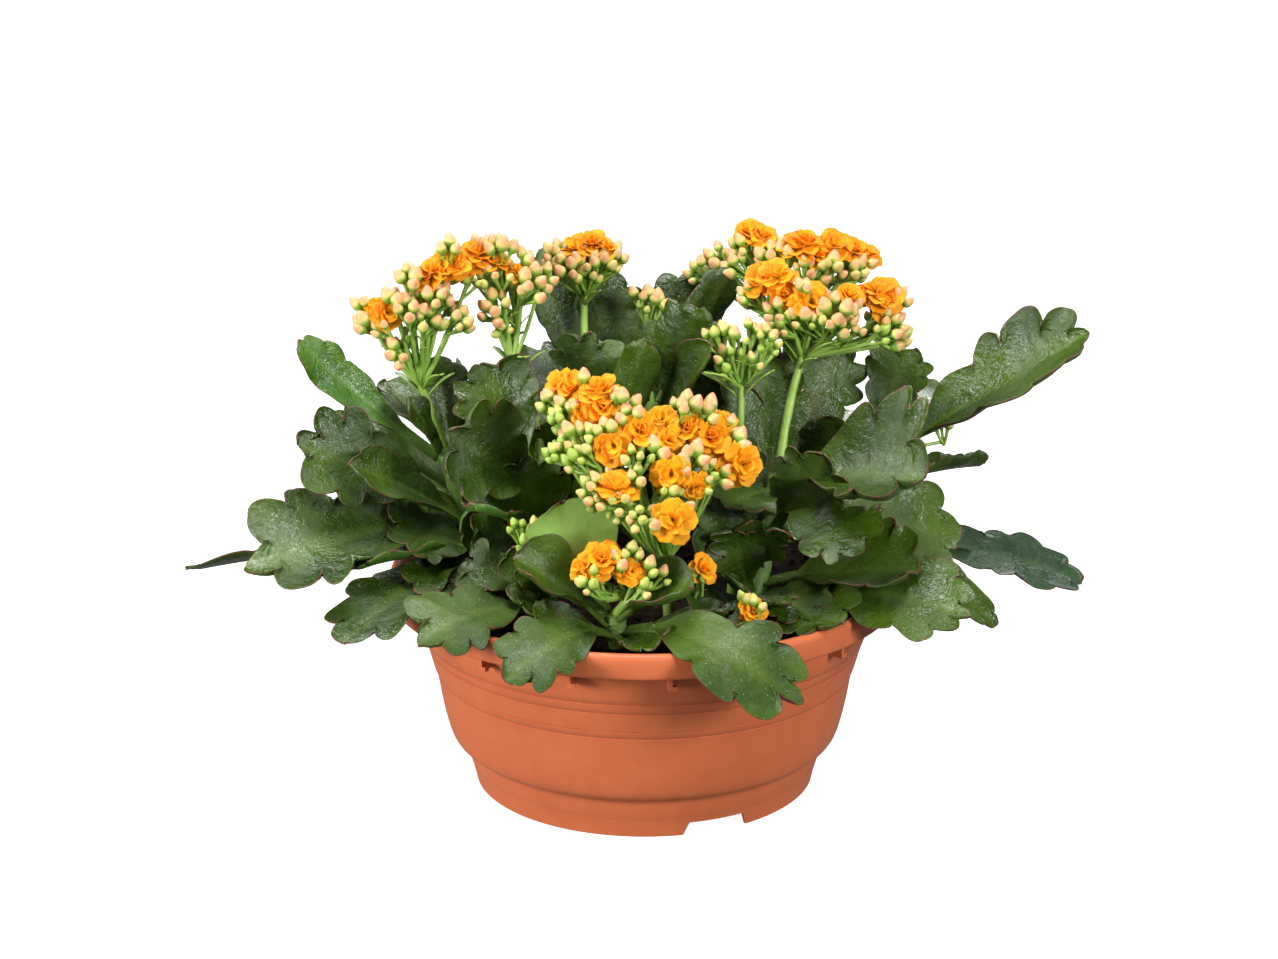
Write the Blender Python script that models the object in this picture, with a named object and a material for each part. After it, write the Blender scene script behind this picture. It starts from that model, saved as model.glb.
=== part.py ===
"""A kalanchoe with double orange flowers in a terracotta-coloured plastic bowl.

The bowl stands on its foot ring, centred on the origin, with its rim and the soil above.
Stems rise from the soil. Every leaf and every flower stalk is a solid of its own that
stops a fraction of a millimetre short of the stem it grows from. Tables are in
millimetres. The meshes are in metres.
"""

import math
from dataclasses import dataclass

import bpy
import numpy as np

MM = 0.001
SEGMENTS = 40
LEAF_THICKNESS = 2.2
PETIOLE_HALF_WIDTH = 3.0
PETIOLE_SHARE = 0.20
STEM_GAP = 1.2
RIB_SLANT = 0.45
LEAF_STATIONS = 10
HEAD_SIDES = 7

# The bowl's outer wall from the foot up to the rim, as (radius, height).
OUTER_WALL = (
    (83.5, 0.0), (85.9, 9.2), (85.6, 9.8), (88.4, 17.0), (88.9, 19.6), (92.6, 22.6), (95.7, 25.8),
    (98.0, 33.0), (99.9, 42.0), (101.6, 52.0), (102.6, 57.0), (102.3, 57.5), (103.0, 58.0),
    (104.0, 61.0), (103.7, 61.5), (104.5, 62.0), (106.8, 71.0), (106.5, 71.5), (107.3, 72.0),
    (108.8, 76.3), (108.5, 76.8), (109.4, 77.3), (111.2, 83.0), (112.8, 91.0), (113.2, 95.2),
)
RIM = (
    (123.8, 95.2), (125.0, 96.6), (124.8, 104.8), (124.0, 106.6), (122.4, 107.4), (120.6, 107.0),
    (118.6, 104.6),
)
INNER_WALL = (
    (111.4, 95.0), (109.0, 82.0), (104.8, 71.0), (99.6, 52.0), (96.0, 33.0), (92.6, 24.6),
    (86.8, 18.6), (85.6, 13.0), (84.6, 12.0),
)
FLOOR_UNDERSIDE = 9.4
FOOT_INNER = ((82.6, 9.4), (83.4, 8.6), (81.3, 0.0))
NOTCH_ANGLES = (24.0, 144.0, 264.0)
NOTCH_WIDTH = 28.0
NOTCH_HEIGHT = 6.0
RIB_COUNT = 16
RIB_TURN = 5.6
DRAIN_COUNT = 6
DRAIN_RING = 48.0
DRAIN_RADIUS = 4.0
SOIL_GAP = 0.35
SOIL_TOP = 96.0
# How a crown swells above its branch, as (height, share of its radius).
CROWN_PROFILE = ((-0.85, 0.5), (-0.4, 0.92), (0.1, 1.0), (0.6, 0.78), (0.95, 0.35))


@dataclass(frozen=True)
class Finish:
    """Colour, roughness and metallic of one material."""

    color: tuple[float, float, float]
    roughness: float
    metallic: float = 0.0


@dataclass(frozen=True)
class Stem:
    """A green stem: three points of its axis, and the radius at its foot and its top."""

    points: tuple
    foot: float
    top: float


@dataclass(frozen=True)
class Leaf:
    """A scalloped leaf that grows from a stem.

    at is how far up the stem it grows. face is the way its upper side looks. bow lifts
    its middle towards face, and cup lifts its edges. twist turns it along its length.
    """

    stem: str
    at: float
    tip: tuple
    width: float
    face: tuple
    bow: float = 6.0
    cup: float = 0.25
    lobes: int = 3
    depth: float = 0.3
    twist: float = 0.0
    phase: float = 0.0


@dataclass(frozen=True)
class Crown:
    """A rounded mass of buds and flowers: its centre, and its radius and half-height."""

    centre: tuple
    size: tuple


@dataclass(frozen=True)
class Head:
    """A flower stalk from its foot to its node, with branches to its crowns."""

    stalk: tuple
    crowns: tuple
    radius: float = 2.4


STEMS = {
    "left": Stem(((-66, 6, 98.6), (-88, 2, 130), (-97, 0, 168)), 5.0, 4.0),
    "mid_left": Stem(((-44, -8, 97.0), (-49, -12, 130), (-48, -10, 158)), 5.0, 4.0),
    "front_left": Stem(((-44, -56, 97.0), (-46, -58, 106), (-46, -58, 114)), 4.5, 4.0),
    "front": Stem(((-12, -80, 96.4), (-13, -80, 104), (-14, -80, 112)), 5.0, 4.5),
    "right": Stem(((52, -34, 97.2), (58, -26, 130), (64, -14, 160)), 5.0, 4.0),
    "right_back": Stem(((84, 18, 98.0), (104, 20, 130), (112, 18, 166)), 5.0, 4.0),
    "back": Stem(((6, 30, 97.0), (4, 26, 140), (4, 24, 184)), 5.0, 4.0),
    "back_left": Stem(((-28, 34, 96.8), (-30, 26, 140), (-29, 22, 186)), 5.0, 4.0),
}

LEAVES = {
    "leaf_left_tall": Leaf("left", 0.95, (-164, -15, 228), 32, (0.6, 0.5, 0.45), -4, 0.3, 4, 0.25),
    "leaf_left_mid": Leaf("left", 0.62, (-166, -30, 180), 52, (0.2, -0.75, 0.6), 4, 0.3, 3, 0.4),
    "leaf_left_behind": Leaf("left", 0.72, (-158, 24, 174), 42, (0.2, -0.5, 0.8), 4, 0.2, 3, 0.3),
    "leaf_left_curl": Leaf("left", 0.5, (-139, -42, 173), 26, (-0.2, -0.6, 0.7), 3, 0.4, 2, 0.2),
    "leaf_left_finger": Leaf("left", 0.99, (-113, -14, 197), 14, (0.6, -0.6, 0.4), 2, 0.3, 2, 0.1),
    "leaf_left_upright": Leaf("left", 0.9, (-102, 14, 210), 30, (0.3, 0.9, 0.3), 3, 0.2, 2, 0.2),
    "leaf_left_big": Leaf("left", 0.42, (-189, -60, 128), 66, (0.0, -0.5, 0.86), 12, 0.25, 3, 0.38),
    "leaf_left_low": Leaf("left", 0.3, (-138, -56, 126), 28, (0.1, 0.1, 1.0), 4, 0.5, 3, 0.2),
    "leaf_left_far": Leaf("left", 0.3, (-225, -4, 108), 32, (0.0, 0.3, 0.95), 5, 0.1, 3, 0.2),
    "leaf_left_hanging": Leaf("left", 0.22, (-141, -88, 100), 50, (-0.4, -0.6, 0.7), 10, 0.1, 3, 0.35),
    "leaf_centre_tall": Leaf("mid_left", 0.95, (-79, 0, 211), 46, (-0.1, -0.95, 0.3), 3, 0.2, 3, 0.3),
    "leaf_centre_big": Leaf("mid_left", 0.8, (-92, -46, 190), 54, (-0.2, -0.75, 0.6), 4, 0.45, 3, 0.3),
    "leaf_centre_curl": Leaf("mid_left", 0.45, (-84, -62, 159), 30, (0.2, -0.1, 1.0), 4, 0.4, 3, 0.2),
    "leaf_rim_left": Leaf("front_left", 0.5, (-104, -102, 104), 52, (-0.1, -0.4, 0.9), 10, 0.1, 3, 0.35),
    "leaf_soil_left": Leaf("front_left", 0.95, (-87, -54, 127), 38, (0.0, -0.5, 0.85), 4, 0.15, 3, 0.3),
    "leaf_front_left": Leaf("front", 0.75, (-60, -88, 142), 38, (-0.2, -0.6, 0.75), 4, 0.45, 3, 0.15),
    "leaf_front_right": Leaf("front", 0.85, (22, -108, 134), 36, (0.2, -0.65, 0.7), 4, 0.35, 2, 0.1),
    "leaf_rim_front": Leaf("front", 0.35, (-64, -132, 99), 42, (0.0, -0.5, 0.85), 13, 0.1, 3, 0.3),
    "leaf_rim_right": Leaf("front", 0.45, (70, -136, 88), 50, (0.1, -0.6, 0.8), 20, 0.1, 3, 0.35),
    "leaf_round_pale": Leaf("front", 0.99, (-38, -72, 164), 46, (-0.1, -0.9, 0.4), 3, 0.1, 2, 0.06),
    "leaf_right_dark": Leaf("right", 0.3, (50, -58, 150), 42, (-0.1, -0.9, 0.3), 4, 0.3, 3, 0.35),
    "leaf_right_big": Leaf("right", 0.95, (131, -58, 172), 80, (0.0, -0.5, 0.87), 4, 0.4, 3, 0.3),
    "leaf_right_inner": Leaf("right", 0.85, (38, -60, 158), 40, (-0.2, -0.7, 0.6), 3, 0.2, 3, 0.15),
    "leaf_right_hanging": Leaf("right", 0.76, (101, -85, 144), 43, (0.1, -0.75, 0.65), 4, 0.1, 3, 0.35),
    "leaf_right_mid": Leaf("right", 0.6, (154, -12, 131), 56, (0.1, -0.6, 0.8), 6, 0.1, 3, 0.3),
    "leaf_right_wavy": Leaf("right", 0.2, (128, -66, 127), 52, (0.0, -0.35, 0.93), 4, 0.4, 3, 0.2),
    "leaf_right_low": Leaf("right", 0.12, (152, -84, 113), 54, (0.05, -0.5, 0.86), 9, 0.1, 4, 0.25),
    "leaf_right_tip": Leaf("right_back", 0.2, (171, -22, 84), 24, (0.1, -0.4, 0.9), 16, 0.1, 3, 0.25),
    "leaf_right_far": Leaf("right_back", 0.3, (225, 64, 77), 36, (0.05, -0.5, 0.85), 8, 0.1, 4, 0.35),
    "leaf_right_slim": Leaf("right_back", 0.65, (171, 46, 147), 30, (0.0, 0.3, 0.95), 3, 0.4, 4, 0.25),
    "leaf_right_tall": Leaf("right_back", 0.85, (212, -5, 228), 60, (-0.5, -0.35, 0.75), 2, 0.4, 4, 0.4),
    "leaf_back_right": Leaf("right_back", 0.95, (132, 30, 210), 38, (-0.5, -0.8, 0.3), 3, 0.3, 3, 0.25),
    "leaf_back_lobed": Leaf("right", 0.99, (99, 36, 214), 50, (0.0, 0.95, 0.2), 3, 0.1, 3, 0.35),
    "leaf_back_tall": Leaf("back", 0.9, (23, 62, 240), 42, (0.0, 0.95, 0.2), 3, 0.1, 3, 0.25),
    "leaf_back_finger": Leaf("back", 0.98, (42, 48, 245), 24, (-0.2, 0.9, 0.2), 3, 0.2, 3, 0.2),
    "leaf_back_diagonal": Leaf("back", 0.8, (26, -5, 239), 40, (0.5, 0.8, 0.3), 3, 0.2, 3, 0.25),
    "leaf_back_rolled": Leaf("back", 0.7, (31, -24, 226), 22, (-0.6, -0.6, 0.5), 3, 0.6, 2, 0.1),
    "leaf_top_dark": Leaf("back_left", 0.84, (-26, 14, 222), 44, (-0.25, -0.9, 0.3), 1, 0.1, 3, 0.35),
    "leaf_top_long": Leaf("back_left", 0.5, (2, -14, 226), 22, (0.5, 0.6, 0.6), 1, 0.2, 3, 0.15),
    "leaf_top_behind": Leaf("back_left", 0.82, (-20, 74, 240), 44, (0.0, 0.95, 0.2), 3, 0.1, 3, 0.25),
    "leaf_rear_left": Leaf("back_left", 0.3, (-66, 149, 112), 54, (-0.1, 0.4, 0.9), 16, 0.1, 3, 0.3),
    "leaf_rear_right": Leaf("back", 0.35, (52, 146, 118), 58, (0.1, 0.4, 0.9), 16, 0.1, 3, 0.3),
}

HEADS = {
    "flowers_left": Head(
        ((-97.6, 0, 169.2), (-102, 2, 184), (-108, 2, 199)),
        (
            Crown((-126, 0, 233), (15, 12)),
            Crown((-102, 2, 251), (15, 12)),
            Crown((-92, -6, 232), (12, 11)),
            Crown((-119, -15, 220), (8, 8)),
        ),
    ),
    "flowers_mid_left": Head(
        ((-48.4, -9.4, 160.2), (-52, 8, 184), (-64, 12, 207)),
        (
            Crown((-77, 14, 259), (11, 10)),
            Crown((-60, 10, 252), (11, 12)),
            Crown((-69, 0, 237), (10, 11)),
        ),
    ),
    "flowers_centre_back": Head(
        ((-29, 22.4, 188), (-29.5, 30, 206), (-30, 50, 232)),
        (Crown((-29, 50, 248), (18, 12)),),
    ),
    "flowers_back": Head(
        ((62, 44, 97.6), (66, 46, 160), (72, 50, 216)),
        (
            Crown((54, 50, 254), (11, 11)),
            Crown((77, 50, 254), (12, 11)),
            Crown((101, 52, 247), (13, 13)),
            Crown((39, 72, 238), (12, 11)),
        ),
        3.0,
    ),
    "flowers_right": Head(
        ((64.3, -13.4, 161.4), (68, -4, 188), (76, 6, 212)),
        (
            Crown((62, 2, 243), (13, 13)),
            Crown((82, -2, 240), (12, 12)),
            Crown((111, 6, 236), (14, 12)),
            Crown((126, 4, 223), (10, 10)),
        ),
    ),
    "flowers_green": Head(
        ((42, -14, 97.6), (46, -24, 150), (46, -12, 203)),
        (Crown((39, -16, 226), (9, 11)), Crown((56, -16, 222), (9, 11))),
    ),
    "flowers_front": Head(
        ((12, -48, 97.4), (11, -54, 114), (10, -60, 130)),
        (
            Crown((-32, -64, 211), (12, 10)),
            Crown((-20, -76, 206), (12, 11)),
            Crown((2, -80, 199), (13, 12)),
            Crown((-14, -88, 190), (11, 10)),
            Crown((34, -86, 198), (16, 13)),
            Crown((46, -92, 182), (11, 13)),
            Crown((11, -96, 182), (12, 12)),
            Crown((-14, -92, 177), (11, 9)),
            Crown((11, -102, 164), (13, 10)),
            Crown((-39, -70, 187), (11, 12)),
        ),
        3.2,
    ),
    "flowers_low": Head(
        ((-13, -81, 115), (-9, -85, 119), (-6, -90, 124)),
        (Crown((-23, -102, 143), (13, 10)), Crown((-2, -104, 135), (11, 9))),
        2.6,
    ),
}

FINISHES = {
    "pot_plastic": Finish((0.56, 0.16, 0.07), 0.42),
    "soil": Finish((0.03, 0.02, 0.015), 0.95),
    "stem_green": Finish((0.16, 0.30, 0.05), 0.45),
    "leaf_green": Finish((0.045, 0.13, 0.02), 0.32),
    "stalk_green": Finish((0.24, 0.40, 0.08), 0.45),
}


def unit(vector):
    """The vector at length one."""
    vector = np.asarray(vector, float)
    return vector / np.linalg.norm(vector)


def on_bow(points, t):
    """The point at t on the curve that leaves the first point and ends at the third."""
    first, middle, last = (np.asarray(p, float) for p in points)
    return (1 - t) ** 2 * first + 2 * t * (1 - t) * middle + t * t * last


def along_bow(points, t):
    """The unit direction of that curve at t."""
    first, middle, last = (np.asarray(p, float) for p in points)
    return unit(2 * (1 - t) * (middle - first) + 2 * t * (last - middle))


def leaf_foot(leaf):
    """Where the leaf's stalk ends, just off the stem's skin on the side of its tip."""
    stem = STEMS[leaf.stem]
    point = on_bow(stem.points, leaf.at)
    axis = along_bow(stem.points, leaf.at)
    away = np.asarray(leaf.tip, float) - point
    away = unit(away - axis * away.dot(axis))
    radius = stem.foot + (stem.top - stem.foot) * leaf.at
    lean = abs(unit(np.asarray(leaf.tip, float) - point).dot(axis))
    return point + away * (radius + STEM_GAP + LEAF_THICKNESS * lean)


def half_width(leaf, t, side):
    """Half the leaf's width at t along it, on its left side (1) or its right side (-1)."""
    if t <= PETIOLE_SHARE:
        return PETIOLE_HALF_WIDTH
    u = (t - PETIOLE_SHARE) / (1 - PETIOLE_SHARE)
    envelope = (u / 0.62) ** 0.8 * (max(1 - u, 0) / 0.38) ** 0.49
    turns = leaf.lobes * u + leaf.phase + (0.25 if side < 0 else 0.0)
    scallop = abs(math.sin(math.pi * turns)) ** 0.7
    fade = min(1.0, u / 0.25)
    blade = leaf.width / 2 * envelope * (1 - leaf.depth * fade * (1 - scallop))
    ends = math.sqrt(max(1 - u, 0))
    return max(blade, PETIOLE_HALF_WIDTH * ends) if u < 0.5 else blade + 0.4 * ends


def leaf_axes(leaf, t):
    """The leaf's mid-rib point at t, with its forward, left and upward directions."""
    foot = leaf_foot(leaf)
    chord = np.asarray(leaf.tip, float) - foot
    forward = unit(chord)
    face = np.asarray(leaf.face, float)
    up = unit(face - forward * face.dot(forward))
    left = np.cross(up, forward)
    point = foot + chord * t + up * leaf.bow * 4 * t * (1 - t)
    forward = unit(chord + up * leaf.bow * 4 * (1 - 2 * t))
    up = np.cross(forward, left)
    turn = math.radians(leaf.twist) * t
    left, up = left * math.cos(turn) + up * math.sin(turn), up * math.cos(turn) - left * math.sin(turn)
    return point, forward, left, up


def leaf_point(leaf, t, s):
    """The point of the leaf's upper side at t along it and s across it, from -1 to 1."""
    point, forward, left, up = leaf_axes(leaf, t)
    reach = half_width(leaf, t, 1 if s >= 0 else -1)
    slant = RIB_SLANT * reach * abs(s) * min(1.0, t / PETIOLE_SHARE) * (1 - t**4)
    return point + left * reach * s + forward * slant + up * leaf.cup * reach * s * s


def leaf_mesh(leaf, stations):
    """Points and faces of the leaf as a closed lens-shaped solid."""
    points, faces = [], []
    for i in range(stations + 1):
        t = 0.985 * i / stations
        up = leaf_axes(leaf, t)[3]
        thick = LEAF_THICKNESS * (1.0 if t < 0.9 else 0.7)
        ring = [leaf_point(leaf, t, s) for s in (1.0, 0.45, -0.45, -1.0)]
        ring += [leaf_point(leaf, t, s) - up * thick for s in (-0.45, 0.45)]
        points += ring
    count = 6
    for i in range(stations):
        for j in range(count):
            a, b = i * count + j, i * count + (j + 1) % count
            faces.append((a, b, b + count, a + count))
    faces.append(tuple(reversed(range(count))))
    last = stations * count
    faces.append(tuple(range(last, last + count)))
    return np.array(points), faces


def tube_mesh(path, radii, sides):
    """Points and faces of a closed round tube along the path, one radius for each point."""
    path = np.asarray(path, float)
    points, faces = [], []
    guide = np.array([0.0, 1.0, 0.0])
    for i, (centre, radius) in enumerate(zip(path, radii)):
        ahead = path[min(i + 1, len(path) - 1)] - path[max(i - 1, 0)]
        forward = unit(ahead)
        across = unit(np.cross(guide, forward))
        over = np.cross(forward, across)
        for j in range(sides):
            turn = 2 * math.pi * j / sides
            points.append(centre + radius * (across * math.cos(turn) + over * math.sin(turn)))
    for i in range(len(path) - 1):
        for j in range(sides):
            a, b = i * sides + j, i * sides + (j + 1) % sides
            faces.append((a, b, b + sides, a + sides))
    faces.append(tuple(reversed(range(sides))))
    last = (len(path) - 1) * sides
    faces.append(tuple(range(last, last + sides)))
    return np.array(points), faces


def crown_mesh(node, crown):
    """Points and faces of one branch that leaves the node and swells into a crown."""
    node, centre = np.asarray(node, float), np.asarray(crown.centre, float)
    radius, half = crown.size
    rise = np.array([0.0, 0.0, 1.0])
    under = centre - rise * half
    path = [node - unit(under - node) * 0.8, node + (under - node) * 0.5, under - rise * 1.0]
    radii = [1.2, 1.4, 1.6]
    for height, share in CROWN_PROFILE:
        path.append(centre + rise * half * height)
        radii.append(radius * share)
    return tube_mesh(path, radii, HEAD_SIDES)


def stalk_mesh(head):
    """Points and faces of a head's main stalk, from its foot to its node."""
    steps = np.linspace(0.0, 1.0, 5)
    path = [on_bow(head.stalk, t) for t in steps]
    return tube_mesh(path, [head.radius * (1 - 0.25 * t) for t in steps], HEAD_SIDES)


def stem_mesh(stem):
    """Points and faces of a stem."""
    steps = np.linspace(0.0, 1.0, 6)
    path = [on_bow(stem.points, t) for t in steps]
    return tube_mesh(path, [stem.foot + (stem.top - stem.foot) * t for t in steps], 10)


def lathe_mesh(profile, segments):
    """Points and faces of a profile turned about the upright axis.

    The profile runs up the outside and down the inside. It starts and ends on the axis.
    """
    rings = profile[1:-1]
    points = [(0.0, 0.0, profile[0][1])]
    for radius, height in rings:
        for j in range(segments):
            turn = 2 * math.pi * j / segments
            points.append((radius * math.cos(turn), radius * math.sin(turn), height))
    points.append((0.0, 0.0, profile[-1][1]))
    top = len(points) - 1
    faces = []
    for j in range(segments):
        k = (j + 1) % segments
        faces.append((0, 1 + k, 1 + j))
        for i in range(len(rings) - 1):
            a, b = 1 + i * segments, 1 + (i + 1) * segments
            faces.append((a + j, a + k, b + k, b + j))
        last = 1 + (len(rings) - 1) * segments
        faces.append((last + j, last + k, top))
    return np.array(points), faces


def box_mesh(centre, size, turn):
    """Points and faces of a box turned about the upright axis through the origin."""
    half = np.asarray(size, float) / 2
    corners = [(x, y, z) for x in (-1, 1) for y in (-1, 1) for z in (-1, 1)]
    points = np.asarray(centre, float) + np.array(corners) * half
    cosine, sine = math.cos(turn), math.sin(turn)
    spin = np.array([[cosine, sine, 0], [-sine, cosine, 0], [0, 0, 1]])
    faces = [(0, 1, 3, 2), (4, 6, 7, 5), (0, 4, 5, 1), (2, 3, 7, 6), (0, 2, 6, 4), (1, 5, 7, 3)]
    return points @ spin, faces


def joined(meshes):
    """Several meshes as one list of points and one list of faces."""
    points, faces, count = [], [], 0
    for part_points, part_faces in meshes:
        points.append(np.asarray(part_points, float))
        faces += [tuple(index + count for index in face) for face in part_faces]
        count += len(part_points)
    return np.concatenate(points), faces


def make_material(name):
    """The Principled material of this name from the table of finishes."""
    finish = FINISHES[name]
    material = bpy.data.materials.new(name)
    material.use_nodes = True
    shader = material.node_tree.nodes["Principled BSDF"]
    shader.inputs["Base Color"].default_value = (*finish.color, 1.0)
    shader.inputs["Roughness"].default_value = finish.roughness
    shader.inputs["Metallic"].default_value = finish.metallic
    return material


def add_object(name, mesh_data, material, parent=None, smooth=True):
    """A named mesh object from points in millimetres."""
    points, faces = mesh_data
    mesh = bpy.data.meshes.new(name)
    mesh.from_pydata([tuple(p) for p in np.asarray(points) * MM], [], faces)
    mesh.validate()
    for polygon in mesh.polygons:
        polygon.use_smooth = smooth
    mesh.materials.append(material)
    obj = bpy.data.objects.new(name, mesh)
    bpy.context.scene.collection.objects.link(obj)
    obj.parent = parent
    return obj


def add_operand(name, mesh_data, target, operation, material):
    """A hidden helper that a Boolean joins to the target or cuts out of it."""
    helper = add_object(name, mesh_data, material, smooth=False)
    helper.hide_render = True
    helper.display_type = "WIRE"
    boolean = target.modifiers.new(name, "BOOLEAN")
    boolean.operation = operation
    boolean.solver = "EXACT"
    boolean.object = helper
    return helper


def add_pot(material, parent):
    """The bowl, with its drain holes, its foot notches and the small ribs under its rim."""
    profile = [(0.0, FLOOR_UNDERSIDE), *FOOT_INNER, *OUTER_WALL, *RIM, *INNER_WALL]
    profile.append((0.0, INNER_WALL[-1][1]))
    pot = add_object("pot", lathe_mesh(profile, SEGMENTS), material, parent)
    notches = [
        box_mesh((0, -83, 0), (NOTCH_WIDTH, 14, 2 * NOTCH_HEIGHT), math.radians(angle))
        for angle in NOTCH_ANGLES
    ]
    add_operand("foot_notches", joined(notches), pot, "DIFFERENCE", material)
    ribs = [
        box_mesh((0, -115, 94), (1.6, 9, 5), math.radians(RIB_TURN + 360 * i / RIB_COUNT))
        for i in range(RIB_COUNT)
    ]
    add_operand("rim_ribs", joined(ribs), pot, "UNION", material)
    drains = []
    for i in range(DRAIN_COUNT):
        turn = 2 * math.pi * i / DRAIN_COUNT
        x, y = DRAIN_RING * math.cos(turn), DRAIN_RING * math.sin(turn)
        drains.append(tube_mesh([(x, y, 6), (x, y, 16)], [DRAIN_RADIUS] * 2, 12))
    add_operand("drain_holes", joined(drains), pot, "DIFFERENCE", material)
    return pot


def add_soil(material, parent):
    """The compost: it fills the bowl to just below the rim and is slightly domed."""
    wall = [(r - SOIL_GAP, z + SOIL_GAP) for r, z in reversed(INNER_WALL)]
    wall = [(r, z) for r, z in wall if z < SOIL_TOP - 2]
    profile = [(0.0, wall[0][1]), *wall, (110.4, SOIL_TOP - 1.6), (80.0, SOIL_TOP - 0.6)]
    profile.append((0.0, SOIL_TOP))
    return add_object("soil", lathe_mesh(profile, SEGMENTS), material, parent)


def add_head(name, head, material, parent):
    """A flower head: its stalk, joined to every branch and crown."""
    stalk = add_object(name, stalk_mesh(head), material, parent)
    node = head.stalk[2]
    for i, crown in enumerate(head.crowns):
        add_operand(f"{name}_crown_{i}", crown_mesh(node, crown), stalk, "UNION", material)
    return stalk


def main():
    """Builds the whole plant in its bowl."""
    for obj in list(bpy.data.objects):
        bpy.data.objects.remove(obj, do_unlink=True)
    materials = {name: make_material(name) for name in FINISHES}
    root = bpy.data.objects.new("plant_bowl", None)
    bpy.context.scene.collection.objects.link(root)
    add_pot(materials["pot_plastic"], root)
    add_soil(materials["soil"], root)
    for name, stem in STEMS.items():
        add_object(f"stem_{name}", stem_mesh(stem), materials["stem_green"], root)
    for name, leaf in LEAVES.items():
        add_object(name, leaf_mesh(leaf, LEAF_STATIONS), materials["leaf_green"], root)
    for name, head in HEADS.items():
        add_head(name, head, materials["stalk_green"], root)


if __name__ == "__main__":
    main()
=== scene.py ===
"""Looks of a potted kalanchoe: a plastic bowl, compost, fleshy leaves and double flowers.

Tables are in millimetres. Meshes are in metres, in the same frame as the solids: the bowl
stands on the origin, +Z is up and -Y is towards the front of the plant.
"""

import logging
import math
from collections.abc import Sequence
from dataclasses import dataclass, field
from enum import Enum

import bpy
import numpy as np
from mathutils import Matrix, Vector, noise


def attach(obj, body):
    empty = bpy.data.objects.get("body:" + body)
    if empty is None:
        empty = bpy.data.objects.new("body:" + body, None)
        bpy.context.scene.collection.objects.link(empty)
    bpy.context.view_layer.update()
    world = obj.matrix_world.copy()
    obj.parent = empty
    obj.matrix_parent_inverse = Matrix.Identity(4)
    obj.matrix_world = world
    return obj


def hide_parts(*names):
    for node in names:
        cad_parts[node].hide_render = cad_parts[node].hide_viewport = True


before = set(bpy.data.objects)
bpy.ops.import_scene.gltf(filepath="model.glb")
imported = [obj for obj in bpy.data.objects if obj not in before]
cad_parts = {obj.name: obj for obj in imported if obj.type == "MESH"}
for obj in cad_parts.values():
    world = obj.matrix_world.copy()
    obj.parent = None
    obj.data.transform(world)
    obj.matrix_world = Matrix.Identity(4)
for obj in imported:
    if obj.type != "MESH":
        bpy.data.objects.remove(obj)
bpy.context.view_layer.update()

LOG = logging.getLogger("kalanchoe")
MM = 0.001
TURN = 6.28  # nearly a full turn, for random spins
GOLDEN_TURN = 2.39996
LEAFLET_ORDER = 50
SHOOT_ORDER = 20
WHITE = (1.0, 1.0, 1.0)
Point = tuple[float, float, float]
Colour = tuple[float, float, float]
Row = Sequence[float] | np.ndarray
Socket = bpy.types.NodeSocket
Number = float | Socket
Tint = tuple | Socket
Draw = np.random.Generator


# ---------------------------------------------------------------- small tools


def unit(vector: Row) -> np.ndarray:
    """The vector at length one."""
    vector = np.asarray(vector, float)
    return vector / np.linalg.norm(vector)


def clear_selection() -> None:
    """Leaves object mode clean, with nothing selected and nothing active."""
    if bpy.context.object and bpy.context.object.mode != "OBJECT":
        bpy.ops.object.mode_set(mode="OBJECT")
    bpy.ops.object.select_all(action="DESELECT")
    bpy.context.view_layer.objects.active = None


def make_active(obj: bpy.types.Object) -> None:
    """Selects this object alone and makes it the active one.

    Args:
        obj: The object.
    """
    clear_selection()
    obj.select_set(True)
    bpy.context.view_layer.objects.active = obj


def apply_modifiers(obj: bpy.types.Object) -> None:
    """Applies every modifier of the object, in order.

    Args:
        obj: The object.
    """
    make_active(obj)
    for modifier in list(obj.modifiers):
        bpy.ops.object.modifier_apply(modifier=modifier.name)


def settle(obj: bpy.types.Object) -> None:
    """Puts the object's place, turn and scale into its mesh."""
    make_active(obj)
    bpy.ops.object.transform_apply(location=True, rotation=True, scale=True)


def recalculate_normals(obj: bpy.types.Object) -> None:
    """Turns every face of a closed mesh outwards.

    Args:
        obj: The object with the mesh.
    """
    make_active(obj)
    bpy.ops.object.mode_set(mode="EDIT")
    bpy.ops.mesh.select_all(action="SELECT")
    bpy.ops.mesh.normals_make_consistent(inside=False)
    bpy.ops.object.mode_set(mode="OBJECT")


def coordinates(mesh: bpy.types.Mesh) -> np.ndarray:
    """Reads the mesh's points.

    Args:
        mesh: The mesh.

    Returns:
        Its points as an array of rows.
    """
    flat = np.empty(len(mesh.vertices) * 3)
    mesh.vertices.foreach_get("co", flat)
    return flat.reshape(-1, 3)


def move_points(mesh: bpy.types.Mesh, points: np.ndarray) -> None:
    """Gives the mesh's points new places."""
    mesh.vertices.foreach_set("co", np.asarray(points, np.float32).ravel())
    mesh.update()


def paint(mesh: bpy.types.Mesh, name: str, values: np.ndarray) -> None:
    """Stores one number for each point of the mesh under this name."""
    layer = mesh.attributes.get(name) or mesh.attributes.new(name, "FLOAT", "POINT")
    layer.data.foreach_set("value", np.asarray(values, np.float32).ravel())


def retire(obj: bpy.types.Object) -> None:
    """Removes a helper and its mesh.

    Args:
        obj: The helper.
    """
    mesh = obj.data
    bpy.data.objects.remove(obj, do_unlink=True)
    if isinstance(mesh, bpy.types.Mesh):
        bpy.data.meshes.remove(mesh)


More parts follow.
